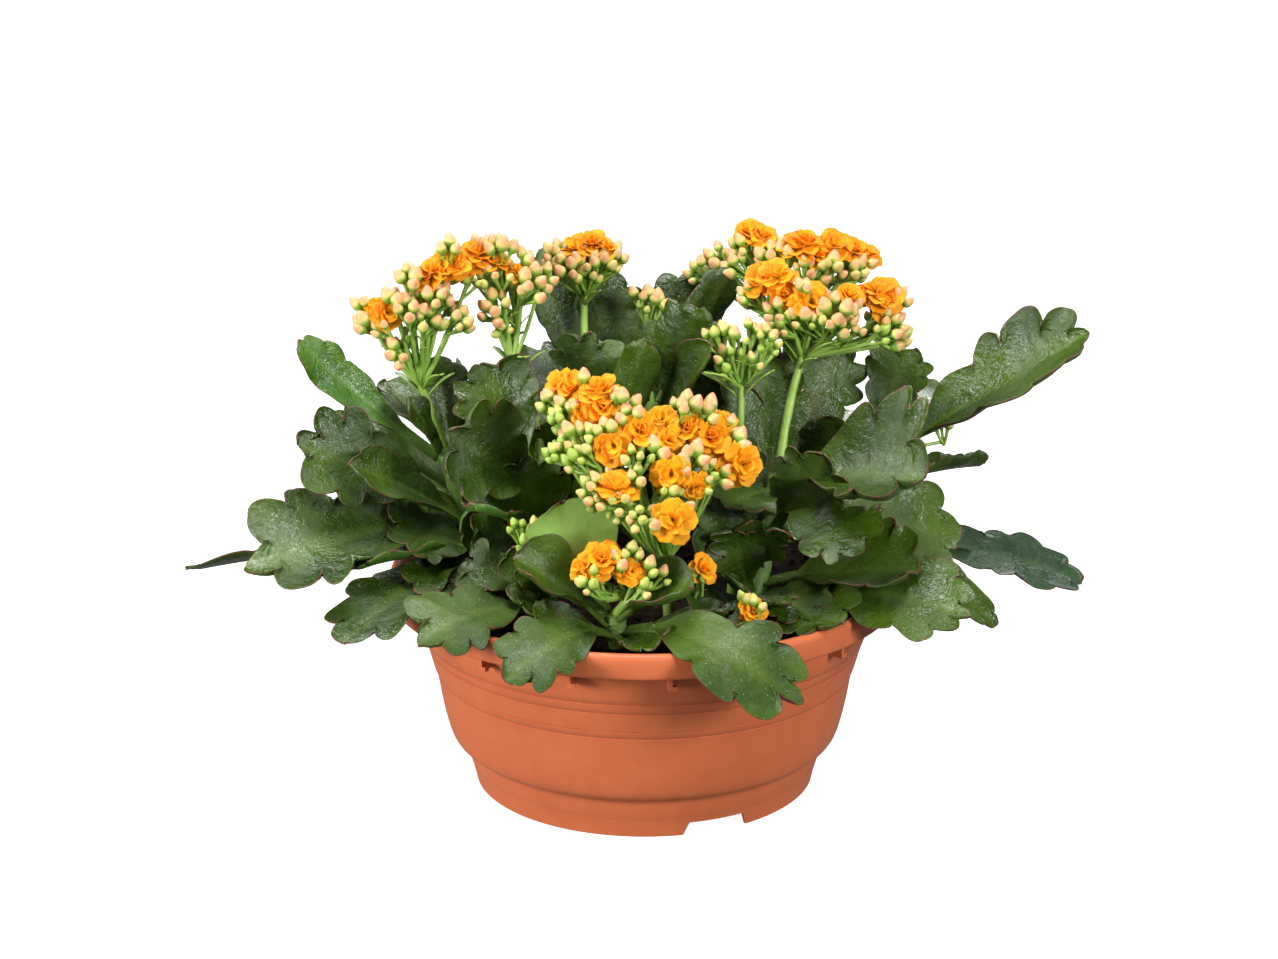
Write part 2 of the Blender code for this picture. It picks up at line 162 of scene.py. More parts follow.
def cut_with(target: bpy.types.Object, tool: bpy.types.Object, operation: str) -> None:
    """Joins the tool to the target or cuts it out, and removes the tool.

    Args:
        target: The piece that is changed.
        tool: The closed shape that changes it.
        operation: A Boolean operation's name.
    """
    boolean = target.modifiers.new("shape", "BOOLEAN")
    boolean.operation = operation
    boolean.solver = "EXACT"
    boolean.object = tool
    apply_modifiers(target)
    retire(tool)


def joined(pieces: list[bpy.types.Object]) -> bpy.types.Object:
    """Makes one object of several.

    Args:
        pieces: The objects, which are used up.

    Returns:
        The one object, with the first one's name.
    """
    make_active(pieces[0])
    for piece in pieces:
        piece.select_set(True)
    bpy.ops.object.join()
    return bpy.context.object


def curve_through(points: Sequence[Row], steps: int) -> np.ndarray:
    """Draws the smooth curve that leaves the first point and ends at the third.

    Args:
        points: Three points. The curve leans towards the second.
        steps: How many points to return.

    Returns:
        Points along the curve, as rows.
    """
    first, middle, last = (np.asarray(p, float) for p in points)
    t = np.linspace(0.0, 1.0, steps)[:, None]
    return (1 - t) ** 2 * first + 2 * t * (1 - t) * middle + t * t * last


# ------------------------------------------------------------------ finishes


class Bench:
    """One material and the nodes laid out around its shader."""

    def __init__(self, name: str) -> None:
        """Starts a material.

        Args:
            name: The material's name.
        """
        self.material = bpy.data.materials.new(name)
        self.material.use_nodes = True
        self.tree = self.material.node_tree
        self.shader = self.tree.nodes["Principled BSDF"]
        self.place = self.node("ShaderNodeTexCoord").outputs["Object"]

    def node(self, kind: str, **settings: str) -> bpy.types.Node:
        """Adds a node.

        Args:
            kind: The node's type.
            **settings: Its properties.

        Returns:
            The node.
        """
        made = self.tree.nodes.new(kind)
        for key, value in settings.items():
            setattr(made, key, value)
        return made

    def feed(self, socket: Socket, value: Number | Tint) -> None:
        """Links a socket to another, or sets it to a number or a colour.

        Args:
            socket: The socket that is fed.
            value: Another socket, a number or a colour.
        """
        if isinstance(value, Socket):
            self.tree.links.new(value, socket)
        elif isinstance(value, tuple):
            socket.default_value = (*value, 1.0) if len(value) == 3 else value
        else:
            socket.default_value = value

    def noise(
        self, scale: float, detail: float = 3.0, warp: float = 0.0, rough: float = 0.5
    ) -> Socket:
        """A noise in the object's own coordinates.

        Args:
            scale: How many lumps there are to a metre.
            detail: How many finer layers it has.
            warp: How far it is drawn out of shape.
            rough: How strong the finer layers are.

        Returns:
            The noise as a number.
        """
        made = self.node("ShaderNodeTexNoise")
        self.feed(made.inputs["Vector"], self.place)
        self.feed(made.inputs["Scale"], scale)
        self.feed(made.inputs["Detail"], detail)
        self.feed(made.inputs["Distortion"], warp)
        self.feed(made.inputs["Roughness"], rough)
        return made.outputs["Fac"]

    def cells(self, scale: float) -> Socket:
        """How far each place is from the nearest of many scattered spots.

        Args:
            scale: How many spots there are to a metre.

        Returns:
            The distance as a number.
        """
        made = self.node("ShaderNodeTexVoronoi")
        self.feed(made.inputs["Vector"], self.place)
        self.feed(made.inputs["Scale"], scale)
        return made.outputs["Distance"]

    def band(
        self, value: Number, low: float, high: float, start: float = 0.0, end: float = 1.0
    ) -> Socket:
        """Spreads a value's run from low to high smoothly over start to end.

        Args:
            value: The value.
            low: Where its run begins.
            high: Where its run ends.
            start: The result at low.
            end: The result at high.

        Returns:
            The result as a number.
        """
        made = self.node("ShaderNodeMapRange", interpolation_type="SMOOTHSTEP")
        for name, number in zip(
            ("Value", "From Min", "From Max", "To Min", "To Max"), (value, low, high, start, end)
        ):
            self.feed(made.inputs[name], number)
        return made.outputs["Result"]

    def sum(self, operation: str, first: Number, second: Number) -> Socket:
        """Does one step of arithmetic.

        Args:
            operation: The operation's name.
            first: Its first number.
            second: Its second number.

        Returns:
            The result as a number.
        """
        made = self.node("ShaderNodeMath", operation=operation)
        self.feed(made.inputs[0], first)
        self.feed(made.inputs[1], second)
        return made.outputs[0]

    def blend(self, share: Number, first: Tint, second: Tint) -> Socket:
        """Mixes two colours.

        Args:
            share: How much of the second there is.
            first: The first colour.
            second: The second colour.

        Returns:
            The mixed colour.
        """
        made = self.node("ShaderNodeMix", data_type="RGBA")
        self.feed(made.inputs["Factor"], share)
        self.feed(made.inputs["A"], first)
        self.feed(made.inputs["B"], second)
        return made.outputs["Result"]

    def stored(self, name: str) -> Socket:
        """A number stored on the piece's points."""
        return self.node("ShaderNodeAttribute", attribute_name=name).outputs["Fac"]

    def relief(
        self, height: Socket, depth: float, strength: float = 1.0, under: Socket | None = None
    ) -> Socket:
        """Bends the surface's normal by a height.

        Args:
            height: The height, from nought to one.
            depth: How deep the height is, in metres.
            strength: How much of it is seen.
            under: A normal that is already bent.

        Returns:
            The bent normal.
        """
        made = self.node("ShaderNodeBump")
        self.feed(made.inputs["Height"], height)
        self.feed(made.inputs["Distance"], depth)
        self.feed(made.inputs["Strength"], strength)
        if under is not None:
            self.feed(made.inputs["Normal"], under)
        return made.outputs["Normal"]

    def finish(self, **sockets: Number | Tint) -> bpy.types.Material:
        """Feeds the shader.

        Args:
            **sockets: What each socket gets, named with underscores for spaces.

        Returns:
            The finished material.
        """
        for name, value in sockets.items():
            self.feed(self.shader.inputs[name.replace("_", " ")], value)
        return self.material


@dataclass(frozen=True)
class BowlPlastic:
    """Satin terracotta-coloured plastic with a faint mottle and fine dust specks."""

    name: str = "bowl_plastic"
    body: Colour = (0.54, 0.122, 0.043)
    worn: Colour = (0.66, 0.190, 0.075)
    dust: Colour = (0.16, 0.05, 0.025)

    def material(self) -> bpy.types.Material:
        """Mixes the finish.

        Returns:
            The finish as a material.
        """
        bench = Bench(self.name)
        mottle = bench.band(bench.noise(90.0, 5.0, 0.2), 0.35, 0.75, 0.3, 0.5)
        tint = bench.blend(mottle, self.body, self.worn)
        speck = bench.band(bench.cells(75.0), 0.035, 0.02, 0.0, 0.75)
        tint = bench.blend(speck, tint, self.dust)
        rough = bench.band(bench.noise(60.0, 4.0), 0.3, 0.7, 0.36, 0.48)
        grain = bench.relief(bench.noise(900.0, 2.0), 0.00008, 0.5)
        skin = bench.relief(bench.noise(55.0, 3.0), 0.0004, 0.2, grain)
        return bench.finish(
            Base_Color=tint, Roughness=rough, Normal=skin, Specular_IOR_Level=0.25
        )


@dataclass(frozen=True)
class Peat:
    """Damp dark compost with paler fibres."""

    name: str = "peat"
    wet: Colour = (0.008, 0.005, 0.003)
    dry: Colour = (0.045, 0.025, 0.014)

    def material(self) -> bpy.types.Material:
        """Mixes the finish.

        Returns:
            The finish as a material.
        """
        bench = Bench(self.name)
        lumps = bench.noise(330.0, 5.0, 0.6, 0.65)
        tint = bench.blend(bench.band(lumps, 0.42, 0.72), self.wet, self.dry)
        relief = bench.relief(lumps, 0.0016, 0.9)
        return bench.finish(
            Base_Color=tint, Roughness=0.92, Normal=relief, Specular_IOR_Level=0.05
        )


class LeafTone(Enum):
    """How deep the green of a leaf is."""

    DEEP = "deep"
    FRESH = "fresh"
    PALE = "pale"
    BLUISH = "bluish"
    DUSTY = "dusty"


@dataclass(frozen=True)
class LeafSkin:
    """The waxy upper side or the duller underside of a leaf."""

    name: str
    shade: Colour
    light: Colour
    rib: Colour
    gloss: tuple[float, float] = (0.50, 0.17)
    shine: float = 0.5
    wrinkle: float = 0.0009
    speck: float = 0.55
    blotch: Colour | None = None
    edge: Colour = (0.12, 0.045, 0.022)
    speck_tint: Colour = (0.42, 0.46, 0.28)
    broad_share: float = 3.2

    def material(self) -> bpy.types.Material:
        """Mixes the finish.

        Returns:
            The finish as a material.
        """
        bench = Bench(self.name)
        patches = bench.band(bench.noise(26.0, 3.0, 0.5), 0.34, 0.68)
        tint = bench.blend(patches, self.shade, self.light)
        mottle = bench.band(bench.noise(260.0, 4.0, 0.3), 0.45, 0.75, 0.0, 0.35)
        tint = bench.blend(mottle, tint, self.light)
        rib = bench.sum("MULTIPLY", bench.stored("rib"), 0.7)
        tint = bench.blend(rib, tint, self.rib)
        if self.blotch:
            blotch = bench.sum("MULTIPLY", bench.stored("blotch"), 0.95)
            tint = bench.blend(blotch, tint, self.blotch)
        speck = bench.band(bench.cells(420.0), 0.13, 0.06, 0.0, self.speck)
        tint = bench.blend(speck, tint, self.speck_tint)
        worn = bench.band(bench.noise(140.0, 2.0), 0.35, 0.6)
        edge = bench.sum("MULTIPLY", bench.band(bench.stored("edge"), 0.66, 0.97), worn)
        tint = bench.blend(edge, tint, self.edge)
        patch = bench.band(bench.noise(36.0, 5.0, 0.6, 0.6), 0.40, 0.60, *self.gloss)
        rough = bench.sum("ADD", patch, bench.band(bench.noise(300.0, 3.0), 0.3, 0.7, -0.04, 0.06))
        fine = bench.relief(bench.noise(420.0, 4.0, 1.2, 0.62), self.wrinkle, 0.55)
        folds = bench.noise(95.0, 3.0, 0.8)
        broad = bench.relief(folds, self.wrinkle * self.broad_share, 0.5, fine)
        return bench.finish(
            Base_Color=tint, Roughness=rough, Normal=broad, Specular_IOR_Level=self.shine
        )


@dataclass(frozen=True)
class StalkSkin:
    """Smooth juicy skin of stems, flower stalks and bracts."""

    name: str
    shade: Colour
    light: Colour
    rough: float = 0.42
    speck_tint: Colour = (0.55, 0.58, 0.3)

    def material(self) -> bpy.types.Material:
        """Mixes the finish.

        Returns:
            The finish as a material.
        """
        bench = Bench(self.name)
        tint = bench.blend(bench.band(bench.noise(70.0, 3.0), 0.3, 0.7), self.shade, self.light)
        speck = bench.band(bench.cells(300.0), 0.12, 0.06, 0.0, 0.4)
        tint = bench.blend(speck, tint, self.speck_tint)
        skin = bench.relief(bench.noise(380.0, 3.0), 0.0004, 0.5)
        return bench.finish(
            Base_Color=tint, Roughness=self.rough, Normal=skin,
            Subsurface_Weight=0.12, Subsurface_Scale=0.002,
        )


@dataclass(frozen=True)
class BudSkin:
    """A bud: green below, with peach petals showing towards its tip as it ripens."""

    name: str = "bud_skin"
    base: Colour = (0.20, 0.37, 0.03)
    green: Colour = (0.40, 0.56, 0.09)
    pale: Colour = (0.72, 0.68, 0.22)
    ripe: Colour = (0.90, 0.40, 0.20)

    def material(self) -> bpy.types.Material:
        """Mixes the finish.

        Returns:
            The finish as a material.
        """
        bench = Bench(self.name)
        rise = bench.stored("rise")
        tone = bench.stored("tone")
        skin = bench.blend(bench.band(tone, 0.0, 0.6), self.green, self.pale)
        tint = bench.blend(bench.band(rise, 0.28, 0.62), self.base, skin)
        top = bench.sum("MULTIPLY", bench.band(rise, 0.4, 0.8), bench.band(tone, 0.1, 0.75))
        tint = bench.blend(top, tint, self.ripe)
        seam = bench.sum("MULTIPLY", bench.stored("seam"), 0.22)
        tint = bench.blend(seam, tint, self.base)
        skin = bench.relief(bench.noise(700.0, 2.0), 0.0003, 0.4)
        return bench.finish(
            Base_Color=tint, Roughness=0.45, Normal=skin,
            Subsurface_Weight=0.25, Subsurface_Scale=0.002,
        )


@dataclass(frozen=True)
class PetalSkin:
    """A petal: yellow at the heart of the flower, orange outwards, redder at the edge."""

    name: str = "petal_skin"
    heart: Colour = (1.0, 0.56, 0.012)
    body: Colour = (1.0, 0.41, 0.012)
    deep: Colour = (0.93, 0.15, 0.010)

    def material(self) -> bpy.types.Material:
        """Mixes the finish.

        Returns:
            The finish as a material.
        """
        bench = Bench(self.name)
        tone = bench.stored("tone")
        reach = bench.stored("reach")
        tint = bench.blend(bench.band(reach, 0.15, 0.8), self.heart, self.body)
        flush = bench.sum("MULTIPLY", bench.band(bench.noise(240.0, 3.0, 0.5), 0.3, 0.75), 0.45)
        tint = bench.blend(bench.sum("MULTIPLY", flush, tone), tint, self.deep)
        rim = bench.sum("MULTIPLY", bench.band(bench.stored("rim"), 0.5, 1.0), tone)
        tint = bench.blend(bench.sum("MULTIPLY", rim, 0.45), tint, self.deep)
        skin = bench.relief(bench.noise(500.0, 2.0), 0.0003, 0.4)
        return bench.finish(
            Base_Color=tint, Roughness=0.55, Normal=skin, Specular_IOR_Level=0.15,
            Subsurface_Weight=0.3, Subsurface_Scale=0.003,
        )


class Finishes:
    """Every material of the plant, made once."""

    def __init__(self) -> None:
        """Makes the materials."""
        self.bowl = BowlPlastic().material()
        self.peat = Peat().material()
        self.upper = {
            LeafTone.DEEP: LeafSkin(
                "leaf_deep", (0.019, 0.047, 0.003), (0.054, 0.108, 0.005), (0.09, 0.16, 0.018)
            ).material(),
            LeafTone.FRESH: LeafSkin(
                "leaf_fresh", (0.045, 0.125, 0.010), (0.10, 0.22, 0.022), (0.16, 0.30, 0.06)
            ).material(),
            LeafTone.PALE: LeafSkin(
                "leaf_pale", (0.15, 0.27, 0.045), (0.22, 0.36, 0.07), (0.24, 0.38, 0.09),
                gloss=(0.6, 0.45), shine=0.2, wrinkle=0.0003, blotch=(0.42, 0.31, 0.03),
            ).material(),
            LeafTone.DUSTY: LeafSkin(
                "leaf_dusty", (0.022, 0.052, 0.004), (0.060, 0.112, 0.010), (0.09, 0.15, 0.02),
                gloss=(0.6, 0.36), shine=0.25, speck=0.7, wrinkle=0.0005,
            ).material(),
            LeafTone.BLUISH: LeafSkin(
                "leaf_bluish", (0.022, 0.056, 0.020), (0.044, 0.10, 0.038), (0.08, 0.16, 0.06)
            ).material(),
        }
        self.under = LeafSkin(
            "leaf_underside", (0.10, 0.19, 0.025), (0.155, 0.26, 0.045), (0.19, 0.30, 0.07),
            gloss=(0.55, 0.40), shine=0.25, wrinkle=0.0004, speck=0.35,
        ).material()
        self.stem = StalkSkin("stem_skin", (0.10, 0.20, 0.035), (0.20, 0.33, 0.07)).material()
        self.stalk = StalkSkin("stalk_skin", (0.22, 0.40, 0.05), (0.36, 0.55, 0.11)).material()
        self.bud = BudSkin().material()
        self.petal = PetalSkin().material()


# ------------------------------------------------------------ bowl and compost


@dataclass
class Bowl:
    """The bowl: a turned shell with foot notches, drain holes and ribs under the rim.

    foot, wall, rim and lining are its profile, as pairs of radius and height.
    """

    segments: int = 192
    foot: tuple = ((78.0, 9.4), (82.6, 9.4), (83.3, 9.2), (83.3, 8.4), (81.4, 0.3), (81.9, 0.0))
    wall: tuple = (
        (83.2, 0.0), (83.7, 0.4), (84.6, 4.6), (85.7, 8.9), (85.8, 9.2), (85.9, 9.6), (86.1, 10.0),
        (87.2, 13.6), (88.2, 17.0), (88.6, 18.8), (89.3, 20.3), (90.8, 21.5), (92.6, 22.7),
        (94.4, 24.2), (95.7, 26.2), (96.9, 29.4), (98.0, 33.6), (99.0, 37.6), (99.9, 42.0),
        (100.8, 47.0), (101.6, 52.0), (102.5, 56.7), (102.6, 57.1), (102.2, 57.5), (102.8, 57.9),
        (103.4, 59.5), (104.0, 60.8), (104.1, 61.2), (103.7, 61.5), (104.3, 61.9), (105.6, 66.4),
        (106.8, 70.8), (106.9, 71.2), (106.5, 71.5), (107.1, 71.9), (107.9, 74.0), (108.7, 76.1),
        (108.8, 76.5), (108.4, 76.8), (109.0, 77.2), (110.2, 80.2), (111.2, 83.4), (112.1, 87.2),
        (112.8, 91.2), (113.1, 94.2), (113.5, 95.0), (114.3, 95.3),
    )
    rim: tuple = (
        (119.0, 95.3), (123.6, 95.3), (124.5, 95.6), (124.9, 96.2), (125.0, 97.2), (125.0, 101.0),
        (124.8, 104.6), (124.5, 105.7), (123.9, 106.6), (123.0, 107.2), (121.9, 107.4),
        (120.8, 107.1), (119.8, 106.3), (118.6, 104.6), (117.6, 103.2),
    )
    lining: tuple = (
        (113.0, 97.0), (111.6, 94.6), (110.4, 89.0), (109.0, 82.0), (107.0, 76.0), (104.8, 71.0),
        (99.6, 52.0), (96.0, 33.0), (92.6, 24.6), (86.8, 18.6), (85.6, 13.6), (84.2, 12.1),
        (80.0, 12.0),
    )
    notch_angles: tuple = (24.0, 144.0, 264.0)
    notch_width: float = 38.0
    notch_height: float = 7.0
    notch_depth: float = 14.0
    notch_radius: float = 83.0
    notch_taper: float = 0.74
    rib_count: int = 16
    rib_turn: float = 5.6
    rib_size: Point = (1.8, 9.3, 8.0)
    rib_place: Point = (0, -115.5, 92)
    hook_size: Point = (3.9, 2.6, 2.1)
    hook_place: Point = (1.05, -118.9, 89.2)
    drain_count: int = 6
    drain_ring: float = 48.0
    drain_radius: float = 4.0
    smooth_angle: float = 38.0

    def build(self, material: bpy.types.Material) -> bpy.types.Object:
        """Makes the bowl.

        Args:
            material: The bowl's plastic.

        Returns:
            The finished bowl.
        """
        bowl = self.turn_shell()
        cut_with(bowl, self.notches(), "DIFFERENCE")
        cut_with(bowl, self.drains(), "DIFFERENCE")
        for ribs in (self.rib_stems(), self.rib_hooks()):
            cut_with(bowl, ribs, "UNION")
        bowl.data.materials.clear()
        bowl.data.materials.append(material)
        make_active(bowl)
        bpy.ops.object.shade_smooth_by_angle(angle=math.radians(self.smooth_angle))
        return bowl

    def turn_shell(self) -> bpy.types.Object:
        """Draws the shell up ring by ring from the foot and down again inside.

        Returns:
            The plain shell.
        """
        profile = self.foot + self.wall + self.rim + self.lining
        radius, height = profile[0]
        clear_selection()
        bpy.ops.mesh.primitive_circle_add(
            vertices=self.segments, radius=radius * MM, location=(0, 0, height * MM)
        )
        bowl = bpy.context.object
        bowl.name = "bowl"
        settle(bowl)
        bpy.ops.object.mode_set(mode="EDIT")
        bpy.ops.mesh.select_all(action="SELECT")
        for (r0, z0), (r1, z1) in zip(profile, profile[1:]):
            bpy.ops.mesh.extrude_region_move(
                TRANSFORM_OT_translate={"value": (0, 0, (z1 - z0) * MM)}
            )
            bpy.ops.transform.resize(value=(r1 / r0, r1 / r0, 1), center_override=(0, 0, 0))
        bpy.ops.mesh.select_all(action="SELECT")
        bpy.ops.mesh.fill_holes(sides=0)
        bpy.ops.mesh.normals_make_consistent(inside=False)
        bpy.ops.object.mode_set(mode="OBJECT")
        return bowl

    def block(self, size: Point, place: Point, taper: float, turn: float) -> bpy.types.Object:
        """A block whose top is narrower, set out from the axis and turned about it.

        Args:
            size: Its width, depth and height.
            place: Its centre before it is turned.
            taper: The share of its width that its top keeps.
            turn: How far it is turned about the bowl's axis, in degrees.

        Returns:
            The block.
        """
        clear_selection()
        bpy.ops.mesh.primitive_cube_add(size=1.0)
        block = bpy.context.object
        points = coordinates(block.data) * np.array(size) * MM
        points[points[:, 2] > 0, 0] *= taper
        spin = np.array(Matrix.Rotation(math.radians(turn), 3, "Z"))
        move_points(block.data, (points + np.array(place) * MM) @ spin.T)
        return block

    def notches(self) -> bpy.types.Object:
        """Sets out the wide notches in the foot ring, narrower at their tops.

        Returns:
            The shapes that cut them, as one.
        """
        size, place = (self.notch_width, self.notch_depth, 2 * self.notch_height), self.notch_radius
        return joined(
            [self.block(size, (0, -place, 0), self.notch_taper, a) for a in self.notch_angles]
        )

    def rib_turns(self) -> list[float]:
        """Where the small ribs under the rim stand, in degrees."""
        return [self.rib_turn + 360 * i / self.rib_count for i in range(self.rib_count)]

    def rib_stems(self) -> bpy.types.Object:
        """The upright parts of the ribs."""
        return joined([self.block(self.rib_size, self.rib_place, 1.0, a) for a in self.rib_turns()])

    def rib_hooks(self) -> bpy.types.Object:
        """The small feet of the ribs, turned to one side."""
        size, place = self.hook_size, self.hook_place
        return joined([self.block(size, place, 1.0, a) for a in self.rib_turns()])

    def drains(self) -> bpy.types.Object:
        """Sets out the drain holes in the floor.

        Returns:
            The drills that cut them, as one.
        """
        drills = []
        for i in range(self.drain_count):
            turn = 2 * math.pi * i / self.drain_count
            x, y = self.drain_ring * math.cos(turn), self.drain_ring * math.sin(turn)
            clear_selection()
            bpy.ops.mesh.primitive_cylinder_add(
                vertices=32, radius=self.drain_radius * MM, depth=0.01,
                location=(x * MM, y * MM, 0.011),
            )
            drills.append(bpy.context.object)
            settle(drills[-1])
        return joined(drills)


@dataclass
class Compost:
    """The compost's lumpy surface and the loose crumbs on it."""

    radius: float = 110.6
    rim_height: float = 94.6
    middle_height: float = 96.2
    side: int = 110
    depth: float = 6.0
    lump_size: float = 9.0
    lump_height: float = 1.5
    crumb_count: int = 420
    crumb_dent: float = 0.45
    crumb_reach: float = 0.97
    crumb_sizes: tuple = (0.7, 2.3)
    crumb_lengths: tuple = (1.0, 2.4)
    crumb_heights: tuple = (0.4, 0.9)
    crumb_tilt: float = 0.5
    crumb_lift: float = 0.4
    seed: int = 11

    def build(self, material: bpy.types.Material) -> bpy.types.Object:
        """Makes the surface: a grid drawn into a disc, raised into lumps and given thickness.

        Args:
            material: The compost's finish.

        Returns:
            The surface.
        """
        clear_selection()
        bpy.ops.mesh.primitive_grid_add(x_subdivisions=self.side, y_subdivisions=self.side, size=2)
        soil = bpy.context.object
        soil.name = "compost"
        flat = coordinates(soil.data)
        x, y = flat[:, 0], flat[:, 1]
        disc = np.stack([x * np.sqrt(1 - y * y / 2), y * np.sqrt(1 - x * x / 2)], 1) * self.radius
        points = np.array([(a * MM, b * MM, self.height(a, b) * MM) for a, b in disc])
        move_points(soil.data, points)
        skirt = soil.modifiers.new("depth", "SOLIDIFY")
        skirt.thickness = self.depth * MM
        skirt.offset = -1
        apply_modifiers(soil)
        bpy.ops.object.shade_smooth()
        soil.data.materials.append(material)
        return soil

    def height(self, x: float, y: float) -> float:
        """How high the compost stands.

        Args:
            x: The place to the right of the middle.
            y: The place behind the middle.

        Returns:
            The height above the bowl's foot.
        """
        share = min(1.0, math.hypot(x, y) / self.radius)
        base = self.middle_height + (self.rim_height - self.middle_height) * share**2
        spot = Vector((x, y, 0)) / self.lump_size
        lumps = noise.fractal(spot, 1.0, 2.1, 4) * self.lump_height
        return base + lumps * (1 - 0.5 * share)

    def crumbs(self, material: bpy.types.Material) -> bpy.types.Object:
        """Scatters loose crumbs of peat and bark on the surface.

        Args:
            material: The compost's finish.

        Returns:
            The crumbs as one piece.
        """
        draw = np.random.default_rng(self.seed)
        clear_selection()
        bpy.ops.mesh.primitive_ico_sphere_add(subdivisions=2, radius=1.0)
        grain = bpy.context.object
        shape = coordinates(grain.data)
        dents = np.array([noise.noise(Vector(p) * 1.7) for p in shape])
        move_points(grain.data, shape * (1 + self.crumb_dent * dents)[:, None])
        mould = Mould(grain)
        places = []
        for _ in range(self.crumb_count):
            turn = draw.uniform(0, 2 * math.pi)
            reach = self.radius * self.crumb_reach * math.sqrt(draw.uniform())
            x, y = reach * math.cos(turn), reach * math.sin(turn)
            size = draw.uniform(*self.crumb_sizes)
            long = size * draw.uniform(*self.crumb_lengths)
            tall = size * draw.uniform(*self.crumb_heights)
            stretch = Matrix.Diagonal((long, size, tall, 1.0))
            spin = Matrix.Rotation(draw.uniform(0, TURN), 4, "Z")
            spin = spin @ Matrix.Rotation(draw.uniform(-self.crumb_tilt, self.crumb_tilt), 4, "X")
            spot = Matrix.Translation((x, y, self.height(x, y) + self.crumb_lift * size))
            places.append(spot @ spin @ stretch)
        return mould.cast("compost_crumbs", places, [material], smooth=False)


# ------------------------------------------------------------- shared makers


class Mould:
    """A finished small shape that is copied many times into one piece."""

    def __init__(self, pattern: bpy.types.Object) -> None:
        """Takes the pattern's mesh and removes the pattern.

        Args:
            pattern: The shape, in millimetres.
        """
        mesh = pattern.data
        self.points = coordinates(mesh)
        self.starts = np.array([p.loop_start for p in mesh.polygons])
        self.totals = np.array([p.loop_total for p in mesh.polygons])
        self.corners = np.array([loop.vertex_index for loop in mesh.loops])
        self.slots = np.array([p.material_index for p in mesh.polygons])
        self.layers = {}
        for layer in mesh.attributes:
            if layer.domain == "POINT" and layer.data_type == "FLOAT":
                values = np.empty(len(mesh.vertices))
                layer.data.foreach_get("value", values)
                self.layers[layer.name] = values
        retire(pattern)

    def cast(
        self, name: str, places: list[Matrix], materials: list[bpy.types.Material],
        tones: list[float] | None = None, smooth: bool = True, scale: float = MM,
    ) -> bpy.types.Object:
        """One piece with a copy of the pattern at each place.

        Args:
            name: The piece's name.
            places: A matrix for each copy, in millimetres.
            materials: The piece's materials.
            tones: A number for each copy, stored on its points as its tone.
            smooth: Whether the faces are shaded smooth.
            scale: From the matrices' unit to the mesh's.

        Returns:
            The piece.
        """
        frames = np.array([[list(row) for row in place] for place in places])
        points = np.einsum("nij,vj->nvi", frames[:, :3, :3], self.points) + frames[:, None, :3, 3]
        copies, count = len(places), len(self.points)
        mesh = bpy.data.meshes.new(name)
        mesh.vertices.add(copies * count)
        mesh.vertices.foreach_set("co", (points * scale).astype(np.float32).ravel())
        shift = np.arange(copies)[:, None]
        mesh.loops.add(copies * len(self.corners))
        mesh.loops.foreach_set("vertex_index", (self.corners + shift * count).ravel())
        mesh.polygons.add(copies * len(self.starts))
        mesh.polygons.foreach_set("loop_start", (self.starts + shift * len(self.corners)).ravel())
        mesh.polygons.foreach_set("loop_total", np.tile(self.totals, copies))
        mesh.polygons.foreach_set("material_index", np.tile(self.slots, copies))
        mesh.update(calc_edges=True)
        mesh.polygons.foreach_set("use_smooth", np.full(copies * len(self.starts), smooth))
        for layer, values in self.layers.items():
            paint(mesh, layer, np.tile(values, copies))
        if tones is not None:
            paint(mesh, "tone", np.repeat(np.asarray(tones, float), count))
        for material in materials:
            mesh.materials.append(material)
        made = bpy.data.objects.new(name, mesh)
        bpy.context.scene.collection.objects.link(made)
        return made


class Tubes:
    """Round stalks that are drawn as lines with a thickness and become one piece."""

    smooth_angle = 50.0

    def __init__(self, name: str, sides: int = 3) -> None:
        """Starts a bundle of this name.

        Args:
            name: The piece's name.
            sides: How fine each stalk's round is.
        """
        self.curve = bpy.data.curves.new(name, "CURVE")
        self.curve.dimensions = "3D"
        self.curve.bevel_depth = MM
        self.curve.bevel_resolution = sides
        self.curve.use_fill_caps = True
        self.name = name

    def draw(self, points: Sequence[Row], radii: Row) -> None:
        """Adds one stalk.

        Args:
            points: The points it goes through, in millimetres.
            radii: Its radius at each point.
        """
        spline = self.curve.splines.new("POLY")
        spline.points.add(len(points) - 1)
        for spot, place, radius in zip(spline.points, points, radii):
            spot.co = (*(np.asarray(place, float) * MM), 1.0)
            spot.radius = float(radius)

    def build(self, material: bpy.types.Material) -> bpy.types.Object:
        """Turns the bundle into one smooth mesh.

        Args:
            material: The stalks' skin.

        Returns:
            The finished piece.
        """
        obj = bpy.data.objects.new(self.name, self.curve)
        bpy.context.scene.collection.objects.link(obj)
        make_active(obj)
        bpy.ops.object.convert(target="MESH")
        made = bpy.context.object
        bpy.ops.object.shade_smooth_by_angle(angle=math.radians(self.smooth_angle))
        made.data.materials.clear()
        made.data.materials.append(material)
        return made


def aim(direction: Row, roll: float) -> Matrix:
    """A turn that points a shape's own up along this direction."""
    turn = Vector(tuple(unit(direction))).to_track_quat("Z", "Y").to_matrix().to_4x4()
    return turn @ Matrix.Rotation(roll, 4, "Z")


# ---------------------------------------------------------- stems and leaves


